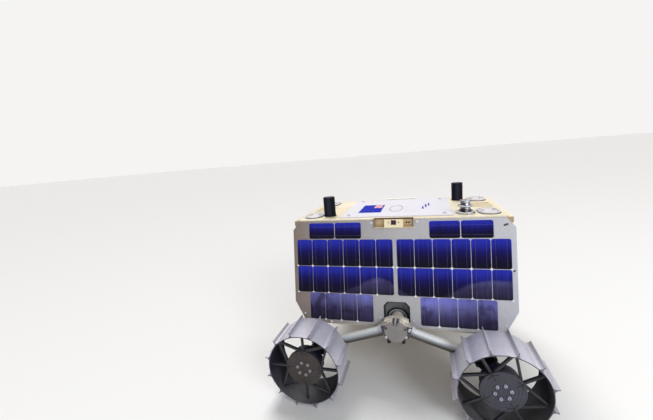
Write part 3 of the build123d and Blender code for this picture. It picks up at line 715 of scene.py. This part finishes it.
# Stands a shape on an end of the body, its Y up, or under the belly, its Z down
def facingEnd(end, x, y=0.0, z=0.0):
    return Matrix(((0, 0, end, x), (end, 0, 0, y), (0, 1, 0, z), (0, 0, 0, 1)))


def facingDown(x, y, z):
    return Matrix(((1, 0, 0, x), (0, -1, 0, y), (0, 0, -1, z), (0, 0, 0, 1)))


# The outer face of a node's box: the low one where side is -1, the high one where it is 1
def outerFace(box, side, axis):
    return box[0][axis] if side < 0 else box[1][axis]


# Copies of a screw evenly round a middle, on a face that looks out to one side
def screwCircle(screw, side, middle, reach, count, start):
    angles = [start + index * 2 * pi / count for index in range(count)]
    x, y, z = middle
    return [(screw, facingOut(side, x + reach * cos(angle), y, z + reach * sin(angle))) for angle in angles]


# A turned shape from rows of radius and height, where a third word in a row makes that ring a hexagon
def turned(rows, count=24):
    corners, faces = [], []
    for row in rows:
        radius, height = row[:2]
        for index in range(count):
            angle = 2 * pi * index / count
            reach = radius / cos((angle + pi / 6) % (pi / 3) - pi / 6) if len(row) == 3 else radius
            corners.append(Vector((reach * cos(angle), reach * sin(angle), height)))
    for row in range(len(rows) - 1):
        for index in range(count):
            a, b = row * count + index, row * count + (index + 1) % count
            faces.append((a, b, b + count, a + count))
    faces.append(tuple(range(count))[::-1])
    faces.append(tuple(range(len(corners) - count, len(corners))))
    return corners, faces


# The same from rows in millimetres
def turnedRows(rows, count=24):
    return turned([(radius / 1000, height / 1000) for radius, height in rows], count)


# Two kinds of screw head, by radius and height
def capScrew(radius, height):
    return turned([
        (radius, 0), (radius, height * 0.82), (radius * 0.93, height * 0.96), (radius * 0.84, height),
        (radius * 0.50, height, "hex"), (radius * 0.48, height * 0.35, "hex"),
    ])


def panHead(radius, height):
    return turned([
        (radius, 0), (radius * 0.97, height * 0.4), (radius * 0.80, height * 0.8), (radius * 0.55, height),
        (radius * 0.36, height, "hex"), (radius * 0.34, height * 0.45, "hex"),
    ])


# A slab from an outline, between two heights
def slab(outline, low, high):
    count = len(outline)
    corners = [Vector((a, b, height)) for height in (low, high) for a, b in outline]
    faces = [tuple(range(count)), tuple(range(count, 2 * count))]
    faces += [(i, (i + 1) % count, (i + 1) % count + count, i + count) for i in range(count)]
    return corners, faces


def rectangle(left, right, low, high):
    return [(left, low), (right, low), (right, high), (left, high)]


def cutRectangle(left, right, low, high, cut):
    return [
        (left + cut, high), (right - cut, high), (right, high - cut), (right, low + cut),
        (right - cut, low), (left + cut, low), (left, low + cut), (left, high - cut),
    ]


# The outline of a slot that runs along Y
def slotOutline(length, width, count=20):
    reach = length / 2 - width / 2
    points = []
    for end in (0, 1):
        for index in range(count):
            angle = pi * end + pi * index / (count - 1)
            middle = -reach if end else reach
            points.append((width / 2 * cos(angle), width / 2 * sin(angle) + middle))
    return points


# The corners and faces of copies of shapes, each at its place
def scatter(placed):
    corners, faces = [], []
    for shape, place in placed:
        first = len(corners)
        corners += [place @ corner for corner in shape[0]]
        faces += [tuple(first + index for index in face) for face in shape[1]]
    return corners, faces


# Film under the cells, which shows in the gaps and where four corners meet, and the cells' busbars
backing = {"proud": 0.00025, "sunk": 0.0002, "cut": 0.0035, "inset": 0.0004}
tab = {"reach": 0.0030, "low": 0.0002, "proud": 0.00045}
busbar = {
    "width": 0.0004, "low": 0.0004, "proud": 0.00068, "margin": 0.0012, "spacing": 0.0112,
    "topPlaces": (0.25, 0.81), "topInset": 0.002,
}
firstRow, pitchX, pitchY = panel["cellFirstRow"], panel["cellPitchX"], panel["cellPitchY"]
cellStart, lowerStart, topStart = panel["cellStart"], panel["lowerStart"], panel["topStart"]
rowStarts = [(cellStart, panel["columns"])] * 2 + [(lowerStart, panel["lowerColumns"])]
gap = (pitchY - panel["cellHeight"]) / 2
# The three fields of cells on each half of a panel: left, right, top and foot
fields = [
    (cellStart, cellStart + panel["columns"] * pitchX, firstRow, firstRow + 2 * pitchY),
    (lowerStart, lowerStart + panel["lowerColumns"] * pitchX, firstRow + 2 * pitchY, firstRow + 3 * pitchY),
    (topStart, topStart + panel["topColumns"] * panel["topPitch"],
     panel["topMargin"], panel["topMargin"] + panel["cellWidth"]),
]
reach, inset = tab["reach"], backing["inset"]
diamond = slab([(reach, 0), (0, reach), (-reach, 0), (0, -reach)], tab["low"], tab["proud"])
for sideName, side in sides.items():
    stand = onPanel(side)
    films, bars, tabs = [], [], []
    for mirror in (1, -1):
        for left, right, high, foot in fields:
            outline = cutRectangle(left + inset, right - inset, inset - foot, -high - inset, backing["cut"])
            outline = [(mirror * a, b) for a, b in outline]
            films.append((slab(outline, -backing["sunk"], backing["proud"]), stand))
        for row, (start, count) in enumerate(rowStarts):
            high = firstRow + row * pitchY + gap + busbar["margin"]
            foot = high + panel["cellHeight"] - 2 * busbar["margin"]
            for index in range(count):
                for offset in (-busbar["spacing"], busbar["spacing"]):
                    middle, half = mirror * (start + (index + 0.5) * pitchX + offset), busbar["width"] / 2
                    outline = rectangle(middle - half, middle + half, -foot, -high)
                    bars.append((slab(outline, busbar["low"], busbar["proud"]), stand))
        for index in range(panel["topColumns"]):
            left = topStart + index * panel["topPitch"] + busbar["topInset"]
            right = left + panel["cellHeight"] - busbar["topInset"]
            for share in busbar["topPlaces"]:
                down = panel["topMargin"] + share * panel["cellWidth"]
                outline = rectangle(*sorted((mirror * left, mirror * right)), -down - busbar["width"], -down)
                bars.append((slab(outline, busbar["low"], busbar["proud"]), stand))
        for index in range(panel["columns"] + 1):
            along = mirror * (cellStart + index * pitchX)
            for row in (1, 2) if index else (1,):
                tabs.append((diamond, stand @ upright(along, -firstRow - row * pitchY, 0)))
        for index in range(1, panel["lowerColumns"]):
            along = mirror * (lowerStart + index * pitchX)
            tabs.append((diamond, stand @ upright(along, -firstRow - 3 * pitchY, 0)))
    addPiece(f"cell_tabs_{sideName}", tabs, "cell_tab")
    addPiece(f"cell_backing_{sideName}", films, "cell_backing")
    addPiece(f"cell_busbars_{sideName}", bars, "cell_busbar")
print("cells dressed")

# Screws in the side panels, at the places that the photograph shows: along, down
panelScrews = {
    "pale": [(-0.234, 0.238), (-0.0388, 0.238), (0.0385, 0.240), (0.234, 0.238)],
    "dark": [(0.238, 0.017), (0.2425, 0.0155), (0.2536, 0.117), (-0.2536, 0.117)],
    "size": (0.0024, 0.0014),
    "large": [(-0.0535, 0.007), (0.0535, 0.0058)],
    "largeSize": (0.0034, 0.0014),
    "knob": (-0.1629, 0.2540),
    "knobRows": [(2.2, 0), (2.2, 1.0), (3.4, 1.8), (3.8, 3.2), (3.4, 4.7), (2.2, 5.6), (0.8, 5.9)],
}
for sideName, side in sides.items():
    for tone in ("pale", "dark"):
        head = panHead(*panelScrews["size"])
        placed = [(head, onPanel(side, along, down)) for along, down in panelScrews[tone]]
        if tone == "pale":
            head = panHead(*panelScrews["largeSize"])
            placed += [(head, onPanel(side, along, down)) for along, down in panelScrews["large"]]
        addPiece(f"panel_screws_{tone}_{sideName}", placed, f"bolt_{tone}")
    placed = [(turnedRows(panelScrews["knobRows"]), onPanel(side, *panelScrews["knob"]))]
    addPiece(f"panel_knob_{sideName}", placed, "knob_pink", smoothAngle=60)

# Camera housing: window bezel, screws in the block and the bays, a plate in one bay, and a flange
housing = {
    "down": 0.0065, "blockProud": 0.009, "bayProud": 0.0025,
    "bezelOuter": 0.0076, "bezelInner": 0.0060, "bezelHeights": (-0.0004, 0.0005),
    "blockScrews": (-0.0117, 0.0117), "blockScrewSize": (0.0014, 0.0008),
    "bayScrews": (0.0295, 0.0355), "bayScrewSize": (0.0021, 0.0016),
    "bayPlate": (-0.0405, -0.0255, -0.0022, 0.0022), "bayPlateCut": 0.0015, "bayPlateHeights": (0, 0.0012),
    "flange": (-0.0470, 0.0485, -0.0205, -0.0176), "flangeHeights": (-0.0002, 0.0009),
}
outer, inner = housing["bezelOuter"], housing["bezelInner"]
strips = [
    rectangle(-outer, outer, inner, outer), rectangle(-outer, outer, -outer, -inner),
    rectangle(-outer, -inner, -inner, inner), rectangle(inner, outer, -inner, inner),
]
bayPlate = slab(cutRectangle(*housing["bayPlate"], housing["bayPlateCut"]), *housing["bayPlateHeights"])
flange = slab(rectangle(*housing["flange"]), *housing["flangeHeights"])
for sideName, side in sides.items():
    block = onPanel(side, 0, housing["down"], housing["blockProud"])
    bay = onPanel(side, 0, housing["down"], housing["bayProud"])
    placed = [(slab(strip, *housing["bezelHeights"]), block) for strip in strips]
    addPiece(f"camera_bezel_{sideName}", placed, "housing_gold")
    placed = []
    for stand, kind, head in ((block, "block", panHead), (bay, "bay", capScrew)):
        screw = head(*housing[f"{kind}ScrewSize"])
        placed += [(screw, stand @ upright(along, 0, 0)) for along in housing[f"{kind}Screws"]]
    addPiece(f"camera_screws_{sideName}", placed, "bolt_dark")
    addPiece(f"camera_bay_plate_{sideName}", [(bayPlate, bay)], "bay_tan", rounded=0.0003)
    placed = [(flange, onPanel(side))]
    addPiece(f"camera_flange_{sideName}", placed, "deck_gold", rounded=0.0002)

# Deck: screws of the plate and the covers, a black rim round each pad's foot as a painted shadow, and the
# pads' lids and bolts
plateScrews = {"along": 0.118, "across": 0.112, "size": (0.0042, 0.0026)}
corners = [(x, y) for x in (-1, 1) for y in (-1, 1)]
head = capScrew(*plateScrews["size"])
placed = [(head, upright(x * plateScrews["along"], y * plateScrews["across"], plateTop)) for x, y in corners]
addPiece("plate_screws", placed, "bolt_steel")
pads = {
    "length": 0.074, "width": 0.046, "shadowRimWidth": 0.0011, "shadowRimHigh": 0.0012,
    "lidInset": 0.0065, "lidHeights": (0.0014, 0.0028), "boltSpread": 0.0115, "boltSize": (0.0032, 0.0030),
}


# A pad's outline, grown by some width all round
def padOutline(grow):
    return slotOutline(pads["length"] + 2 * grow, pads["width"] + 2 * grow)


padShadowRim = slab(padOutline(pads["shadowRimWidth"]), 0, pads["shadowRimHigh"])
lid = slab(padOutline(-pads["lidInset"]), *pads["lidHeights"])
padBolt, lidTop = capScrew(*pads["boltSize"]), deckTop + pads["lidHeights"][1]
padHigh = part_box("service_pads")[1]
padPlaces = [(x * (padHigh.x - pads["width"] / 2), y * (padHigh.y - pads["length"] / 2)) for x, y in corners]
# Black rims round the pads' feet: a painted shadow under the pads' edges
placed = [(padShadowRim, upright(x, y, deckTop)) for x, y in padPlaces]
addPiece("pad_shadow_rims", placed, "gasket_black")
placed = [(lid, upright(x, y, deckTop)) for x, y in padPlaces]
addPiece("pad_lids", placed, "pad_lid", rounded=0.0004)
placed = [(padBolt, upright(x + aside, y, lidTop))
          for x, y in padPlaces for aside in (-pads["boltSpread"], pads["boltSpread"])]
addPiece("pad_bolts", placed, "bolt_steel")
coverScrews = {
    "along": 0.211, "halfLength": 0.022, "halfWidth": 0.030, "floor": -0.001, "size": (0.0017, 0.0009),
}
deckScrews = {
    "across": 0.1465, "places": (-0.225, -0.135, -0.070, 0.070, 0.135, 0.225), "size": (0.0016, 0.0006),
}
coverScrew, deckScrew = panHead(*coverScrews["size"]), panHead(*deckScrews["size"])
placed = []
for end in (-1, 1):
    for x, y in corners:
        along = end * coverScrews["along"] + x * coverScrews["halfLength"]
        spot = upright(along, y * coverScrews["halfWidth"], deckTop + coverScrews["floor"])
        placed.append((coverScrew, spot))
placed += [(deckScrew, upright(along, side * deckScrews["across"], deckTop))
           for along in deckScrews["places"] for side in (-1, 1)]
addPiece("deck_screws", placed, "bolt_steel")

# A plain blue sticker with one pale field, a ring of dashes and three bars on the payload plate
sticker = {
    "outline": (-0.100, -0.040, -0.080, 0.038), "field": (-0.066, -0.044, -0.014, 0.034), "thick": 0.0003,
    "ringMiddle": (-0.003, -0.026), "ringReach": (0.017, 0.045), "dashes": 16,
    "dash": (-0.0018, 0.0018, -0.0030, 0.0030),
    "bars": [
        (0.0655, 0.0695, -0.044, -0.012), (0.0735, 0.0775, -0.020, 0.022), (0.0815, 0.0855, 0.002, 0.040),
    ],
}
thick, onPlate = sticker["thick"], upright(0, 0, plateTop)
outline, field = rectangle(*sticker["outline"]), rectangle(*sticker["field"])
addPiece("plate_sticker", [(slab(outline, 0, thick), onPlate)], "sticker_blue")
addPiece("plate_sticker_field", [(slab(field, 0, 2 * thick), onPlate)], "sticker_pale")
middle, reach = sticker["ringMiddle"], sticker["ringReach"]
dash = slab(rectangle(*sticker["dash"]), 0, thick)
placed = []
for index in range(sticker["dashes"]):
    angle = 2 * pi * index / sticker["dashes"]
    spot = upright(middle[0] + reach[0] * cos(angle), middle[1] + reach[1] * sin(angle), plateTop)
    placed.append((dash, spot @ Matrix.Rotation(angle, 4, "Z")))
addPiece("plate_ring_print", placed, "print_brown")
placed = [(slab(rectangle(*bar), 0, thick), onPlate) for bar in sticker["bars"]]
addPiece("plate_bar_print", placed, "sticker_blue")

# Foot rings of the two stub antennas
antenna = {
    "radius": 0.0155, "foot": 0.0172, "shoulder": 0.00091, "high": 0.0013, "chamfer": 0.0005, "overlap": 0.001,
}
antennaLow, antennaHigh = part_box("stub_antennas")
footRing = turned([
    (antenna["foot"], 0), (antenna["foot"], antenna["shoulder"]),
    (antenna["foot"] - antenna["chamfer"], antenna["high"]),
    (antenna["radius"] - antenna["overlap"], antenna["high"]),
], 48)
reach = antenna["radius"]
places = [(antennaLow.x + reach, antennaLow.y + reach), (antennaHigh.x - reach, antennaHigh.y - reach)]
addPiece("antenna_feet", [(footRing, upright(x, y, deckTop)) for x, y in places], "gasket_black")

# The spool, turned with soft edges and a bolt through its middle: radius and height in millimetres
spool = {
    "rows": [
        (21.4, 0), (22, 0.6), (22, 4.8), (21.3, 5.5), (18, 6.2), (14.5, 8.0), (12.0, 10.4), (10.9, 12.4),
        (10.9, 13.8), (12.2, 15.2), (16.8, 16.3), (17.5, 17.0), (17.5, 19.3), (16.8, 20.0), (12.4, 20.8),
        (10.4, 21.8), (10.0, 23.2), (10.4, 24.8), (11.4, 25.9), (12.0, 26.6), (12.0, 31.2), (11.4, 31.8),
        (8.6, 31.9), (8.4, 30.9), (5.2, 30.8),
    ],
    "boltSize": (0.0046, 0.0016), "boltFoot": 0.0304,
}
spoolStand = upright(spoolMiddle.x, spoolMiddle.y, deckTop)
placed = [(turnedRows(spool["rows"], 64), spoolStand)]
spoolPiece = addPiece("spool_turned", placed, "spool_metal", smoothAngle=28)
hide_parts("deck_spool")
placed = [(capScrew(*spool["boltSize"]), spoolStand @ upright(0, 0, spool["boltFoot"]))]
addPiece("spool_bolt", placed, "bolt_dark")
print("deck dressed")

# Ends and belly, which the photograph doesn't show: access covers, edge screws and two capped connectors
seam = {"wide": 0.0022, "heights": (-0.0002, 0.0004)}
screwInset = 0.008
endDress = {
    "cover": (-0.078, 0.078, 0.252, 0.352), "cut": 0.010, "thick": 0.0016, "screwSize": (0.0024, 0.0014),
    "edgeHeights": (0.215, 0.258, 0.301, 0.344, 0.380), "edgeInset": 0.0095,
    "topHeight": 0.383, "topPlaces": (-0.105, -0.0525, 0, 0.0525, 0.105),
    "caps": [(-0.112, 0.300), (0.112, 0.300)],
    "capRows": [(15.0, 0), (15.0, 1.8), (12.8, 2.2), (12.8, 8.0), (11.8, 9.2), (5.0, 9.4), (4.6, 8.4)],
}
bellyDress = {
    "cover": (-0.060, 0.060, -0.085, 0.085), "cut": 0.008, "thick": 0.0016, "ribReach": 0.006,
    "screwsAlong": (-0.215, -0.112, -0.068, 0.068, 0.112, 0.215),
    "screwsAcross": (-0.150, -0.050, 0.050, 0.150),
}
screw = panHead(*endDress["screwSize"])
cap = turnedRows(endDress["capRows"], 40)


# A cover plate with a dark seam round it
def accessCover(seamName, coverName, dress, stand):
    left, right, low, high = dress["cover"]
    wide = seam["wide"]
    outline = cutRectangle(left - wide, right + wide, low - wide, high + wide, dress["cut"])
    addPiece(seamName, [(slab(outline, *seam["heights"]), stand)], "gap_dark")
    outline = cutRectangle(left, right, low, high, dress["cut"])
    addPiece(coverName, [(slab(outline, 0, dress["thick"]), stand)], "end_access", rounded=0.0005)


left, right, low, high = endDress["cover"]
for endName, end in ends.items():
    faceX = outerFace(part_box(f"end_panel_{endName}"), end, 0)
    accessCover(f"end_seam_{endName}", f"end_access_{endName}", endDress, facingEnd(end, faceX))
    coverX = faceX + end * endDress["thick"]
    placed = [(screw, facingEnd(end, coverX, end * across, height))
              for across in (left + screwInset, 0, right - screwInset)
              for height in (low + screwInset, high - screwInset)]
    for height in endDress["edgeHeights"]:
        slope = (panel["topZ"] - height) * tan(panel["tilt"])
        reach = panel["halfWidth"] + slope - panel["thick"] - endDress["edgeInset"]
        placed += [(screw, facingEnd(end, faceX, edge * reach, height)) for edge in (-1, 1)]
    height = endDress["topHeight"]
    placed += [(screw, facingEnd(end, faceX, across, height)) for across in endDress["topPlaces"]]
    addPiece(f"end_screws_{endName}", placed, "bolt_steel")
    placed = [(cap, facingEnd(end, faceX, end * across, height)) for across, height in endDress["caps"]]
    addPiece(f"end_caps_{endName}", placed, "gasket_black")
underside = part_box("belly_pan")[0].z + bellyDress["ribReach"]
accessCover("belly_seam", "belly_access", bellyDress, facingDown(0, 0, underside))
left, right, low, high = bellyDress["cover"]
placed = [(screw, facingDown(x, y, underside - bellyDress["thick"]))
          for x in (left + screwInset, right - screwInset) for y in (low + screwInset, 0, high - screwInset)]
placed += [(screw, facingDown(x, y, underside))
           for x in bellyDress["screwsAlong"] for y in bellyDress["screwsAcross"]]
addPiece("belly_screws", placed, "bolt_steel")
print("ends and belly dressed")

# Rocker hubs: bolts of the cover and the ears, two black knobs, the clamp's gaps and tongue, and a socket
hub = {
    "paleBolts": [(0.0232, -0.0090), (-0.0220, -0.0118)],
    "darkBolts": [(-0.0215, 0.0095), (0.0215, 0.0100)],
    "boltSize": (0.0025, 0.0018),
    "earBolt": (0.0246, 0.0125), "earIn": 0.022, "earBoltSize": (0.0022, 0.0018),
    "knobs": [(0.0160, -0.0240), (-0.0165, -0.0255)],
    "knobRows": [(4.6, -14.0), (4.6, -1.0), (3.6, 0), (2.2, 0), (2.0, -1.5)],
    "gaps": (-0.0042, 0.0033), "gapWidth": 0.0025, "clampDepth": 0.0215, "crestDrop": 0.006, "gapOver": 0.0004,
    "gapFoot": 0.0168, "gapSunk": 0.0002, "gapProud": 0.0003,
    "tongueWidth": 0.0036, "tongueOver": 0.0009, "tongueIn": 0.0004,
    "socket": (0.0302, 0.0005), "socketIn": 0.0124,
    "socketRows": [(4.6, 0), (4.6, 3.0), (4.0, 3.6), (3.4, 3.6), (3.1, 1.6)],
}
knob, socket = turnedRows(hub["knobRows"]), turnedRows(hub["socketRows"])
for sideName, side in sides.items():
    coverBox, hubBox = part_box(f"hub_cover_{sideName}"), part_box(f"rocker_hub_{sideName}")
    face, blockFace = outerFace(coverBox, side, 1), outerFace(hubBox, side, 1)
    for tone in ("pale", "dark"):
        head = capScrew(*hub["boltSize"])
        placed = [(head, facingOut(side, x, face, pivotZ + z)) for x, z in hub[f"{tone}Bolts"]]
        if tone == "pale":
            head = capScrew(*hub["earBoltSize"])
            aside, up = hub["earBolt"]
            earFace = blockFace - side * hub["earIn"]
            placed += [(head, facingOut(side, end * aside, earFace, pivotZ + up)) for end in (-1, 1)]
        addPiece(f"hub_bolts_{tone}_{sideName}", placed, f"bolt_{tone}")
    placed = [(knob, facingOut(side, x, blockFace, pivotZ + z)) for x, z in hub["knobs"]]
    addPiece(f"hub_knobs_{sideName}", placed, "gasket_black")
    stand = slabOut(side, 0, blockFace, pivotZ)
    crest, coverCrest, depth = hubBox[1].z - pivotZ, coverBox[1].z - pivotZ, hub["clampDepth"]
    wide, foot, over, proud = hub["gapWidth"] / 2, crest - hub["crestDrop"], hub["gapOver"], hub["gapProud"]
    outlines = [rectangle(x - wide, x + wide, foot, crest + over) for x in hub["gaps"]]
    placed = [(slab(outline, -depth, 0), stand) for outline in outlines]
    outlines = [rectangle(x - wide, x + wide, hub["gapFoot"], coverCrest + proud) for x in hub["gaps"]]
    coverProud = abs(face) - abs(blockFace) + proud
    placed += [(slab(outline, -hub["gapSunk"], coverProud), stand) for outline in outlines]
    addPiece(f"clamp_gaps_{sideName}", placed, "gap_dark")
    middle, wide = sum(hub["gaps"]) / 2, hub["tongueWidth"] / 2
    outline = rectangle(middle - wide, middle + wide, foot, crest + hub["tongueOver"])
    tongue = slab(outline, -depth, -hub["tongueIn"])
    addPiece(f"clamp_tongue_{sideName}", [(tongue, stand)], "bolt_pale", rounded=0.0003)
    aside, up = hub["socket"]
    placed = [(socket, facingOut(side, aside, blockFace - side * hub["socketIn"], pivotZ + up))]
    addPiece(f"leg_socket_{sideName}", placed, "bolt_steel")

# Sleeves over the leg tubes, from the hub's arms to the motor clamps: radius and reach along the leg, in
# millimetres
sleeve = [
    (10.6, 36.5), (11.5, 36.7), (12.0, 37.4), (12.0, 41.0), (11.7, 41.8), (11.6, 44.0),
    (11.6, 163.5), (11.7, 165.5), (12.0, 166.3), (12.0, 169.8), (11.5, 170.5), (10.6, 170.7),
]
legFall = (pivotZ - wheel["axleZ"]) / wheel["axleX"]
for endName, end in ends.items():
    run = Vector((end, 0, -legFall)).normalized()
    turn = run.to_track_quat("Z", "Y").to_matrix().to_4x4()
    for sideName, side in sides.items():
        legLow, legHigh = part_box(f"leg_tube_{endName}_{sideName}")
        stand = upright(0, (legLow.y + legHigh.y) / 2, pivotZ) @ turn
        placed = [(turnedRows(sleeve, 48), stand)]
        addPiece(f"leg_sleeve_{endName}_{sideName}", placed, "tube_metal", smoothAngle=28)

# Wheels: six screws, ribs where the spokes run onto the disc, and screws in the motor clamp's lobes
wheelScrews = {"reach": 0.015, "size": (0.0032, 0.0034), "count": 6, "sunk": 0.002}
ribs = {
    "turns": {"front_near": 75, "rear_near": 45, "front_far": 15, "rear_far": 45}, "spokes": 4,
    "hubReach": 0.038, "rimReach": 0.084, "spread": pi / 4,
    "back": 0.012, "ahead": 0.0036, "width": 0.0024, "heights": (-0.0003, 0.0007),
}
clampScrews = {
    "reach": 0.0195, "size": (0.0023, 0.0018), "count": 8, "out": 0.22403, "fromAxle": 0.016,
    "angle": radians(18.86),
}
for endName, end in ends.items():
    for sideName, side in sides.items():
        place = f"{endName}_{sideName}"
        axleX, axleZ, start = end * wheel["axleX"], wheel["axleZ"], radians(ribs["turns"][place])
        face = outerFace(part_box(f"wheel_hub_{place}"), side, 1) - side * wheelScrews["sunk"]
        head, reach, count = capScrew(*wheelScrews["size"]), wheelScrews["reach"], wheelScrews["count"]
        placed = screwCircle(head, side, (axleX, face, axleZ), reach, count, start)
        addPiece(f"hub_screws_{place}", placed, "bolt_pale", f"wheel_{place}")
        placed = []
        for index in range(ribs["spokes"]):
            angle = start + (index + 0.5) * 2 * pi / ribs["spokes"]
            inner = Vector((cos(angle), sin(angle))) * ribs["hubReach"]
            for turn in (-ribs["spread"], 0, ribs["spread"]):
                outer = Vector((cos(angle + turn), sin(angle + turn))) * ribs["rimReach"]
                run = (outer - inner).normalized()
                wide = Vector((-run.y, run.x)) * ribs["width"] / 2
                foot, tip = inner - run * ribs["back"], inner + run * ribs["ahead"]
                outline = [tuple(point) for point in (foot - wide, tip - wide, tip + wide, foot + wide)]
                placed.append((slab(outline, *ribs["heights"]), slabOut(side, axleX, face, axleZ)))
        addPiece(f"hub_ribs_{place}", placed, "spoke_dark", f"wheel_{place}", rounded=0.0003)
        angle, away = clampScrews["angle"], clampScrews["fromAxle"]
        middle = (axleX - end * away * cos(angle), side * clampScrews["out"], axleZ + away * sin(angle))
        head, reach, count = capScrew(*clampScrews["size"]), clampScrews["reach"], clampScrews["count"]
        placed = screwCircle(head, side, middle, reach, count, -end * angle)
        addPiece(f"clamp_screws_{place}", placed, "bolt_dark")
print("rockers and wheels dressed")

# Floor, lamps and the pale room
floorLook = {"reach": 60, "colour": (0.80, 0.795, 0.79, 1), "roughness": 0.95, "specular": 0.1}
floorMesh = bpy.data.meshes.new("floor")
reach = floorLook["reach"]
outline = rectangle(-reach, reach, -reach, reach)
floorMesh.from_pydata([(x, y, 0) for x, y in outline], [], [(0, 1, 2, 3)])
floor = bpy.data.objects.new("floor", floorMesh)
link(floor)
floorFinish = bpy.data.materials.new("floor")
floorFinish.use_nodes = True
floorShader = floorFinish.node_tree.nodes["Principled BSDF"]
floorShader.inputs["Base Color"].default_value = floorLook["colour"]
floorShader.inputs["Roughness"].default_value = floorLook["roughness"]
floorShader.inputs["Specular IOR Level"].default_value = floorLook["specular"]
floorMesh.materials.append(floorFinish)

skylight = {
    "strength": 2.1, "softness": radians(28), "turn": (radians(-24), radians(-12), 0),
    "colour": (1.0, 0.99, 0.98),
}
sun = bpy.data.lights.new("skylight", "SUN")
sun.energy = skylight["strength"]
sun.angle = skylight["softness"]
sun.color = skylight["colour"]
sunObject = bpy.data.objects.new("skylight", sun)
sunObject.rotation_euler = skylight["turn"]
link(sunObject)

coolFill = {
    "place": (2.6, -2.8, 2.2), "aim": (0, 0, 0.2), "size": 1.8, "power": 76, "colour": (0.90, 0.95, 1.0),
}
fill = bpy.data.lights.new("cool_fill", "AREA")
fill.size = coolFill["size"]
fill.energy = coolFill["power"]
fill.color = coolFill["colour"]
fillObject = bpy.data.objects.new("cool_fill", fill)
fillObject.location = coolFill["place"]
fillObject.rotation_mode = "QUATERNION"
towards = Vector(coolFill["aim"]) - Vector(coolFill["place"])
fillObject.rotation_quaternion = towards.to_track_quat("-Z", "Y")
link(fillObject)

# The room is brighter to the camera and in reflections than it lights the rover
roomLook = {
    "colour": (1.0, 0.99, 0.98, 1), "horizon": 0.26, "overhead": 0.46, "overheadFrom": 0.7, "seen": 0.915,
}
room = bpy.data.worlds.new("room")
bpy.context.scene.world = room
room.use_nodes = True
roomTree = room.node_tree
background = roomTree.nodes["Background"]
background.inputs["Color"].default_value = roomLook["colour"]
drawing["tree"] = roomTree
rays = put("LightPath").outputs
mirrored = calc("MAXIMUM", rays["Is Glossy Ray"], rays["Is Transmission Ray"])
seen = calc("MAXIMUM", rays["Is Camera Ray"], mirrored)
height = axesOf(put("TexCoord").outputs["Generated"])[2]
sky = fade(height, 0.0, roomLook["overheadFrom"], roomLook["horizon"], roomLook["overhead"])
roomTree.links.new(mixValues(seen, sky, roomLook["seen"]), background.inputs["Strength"])
print("lights placed")
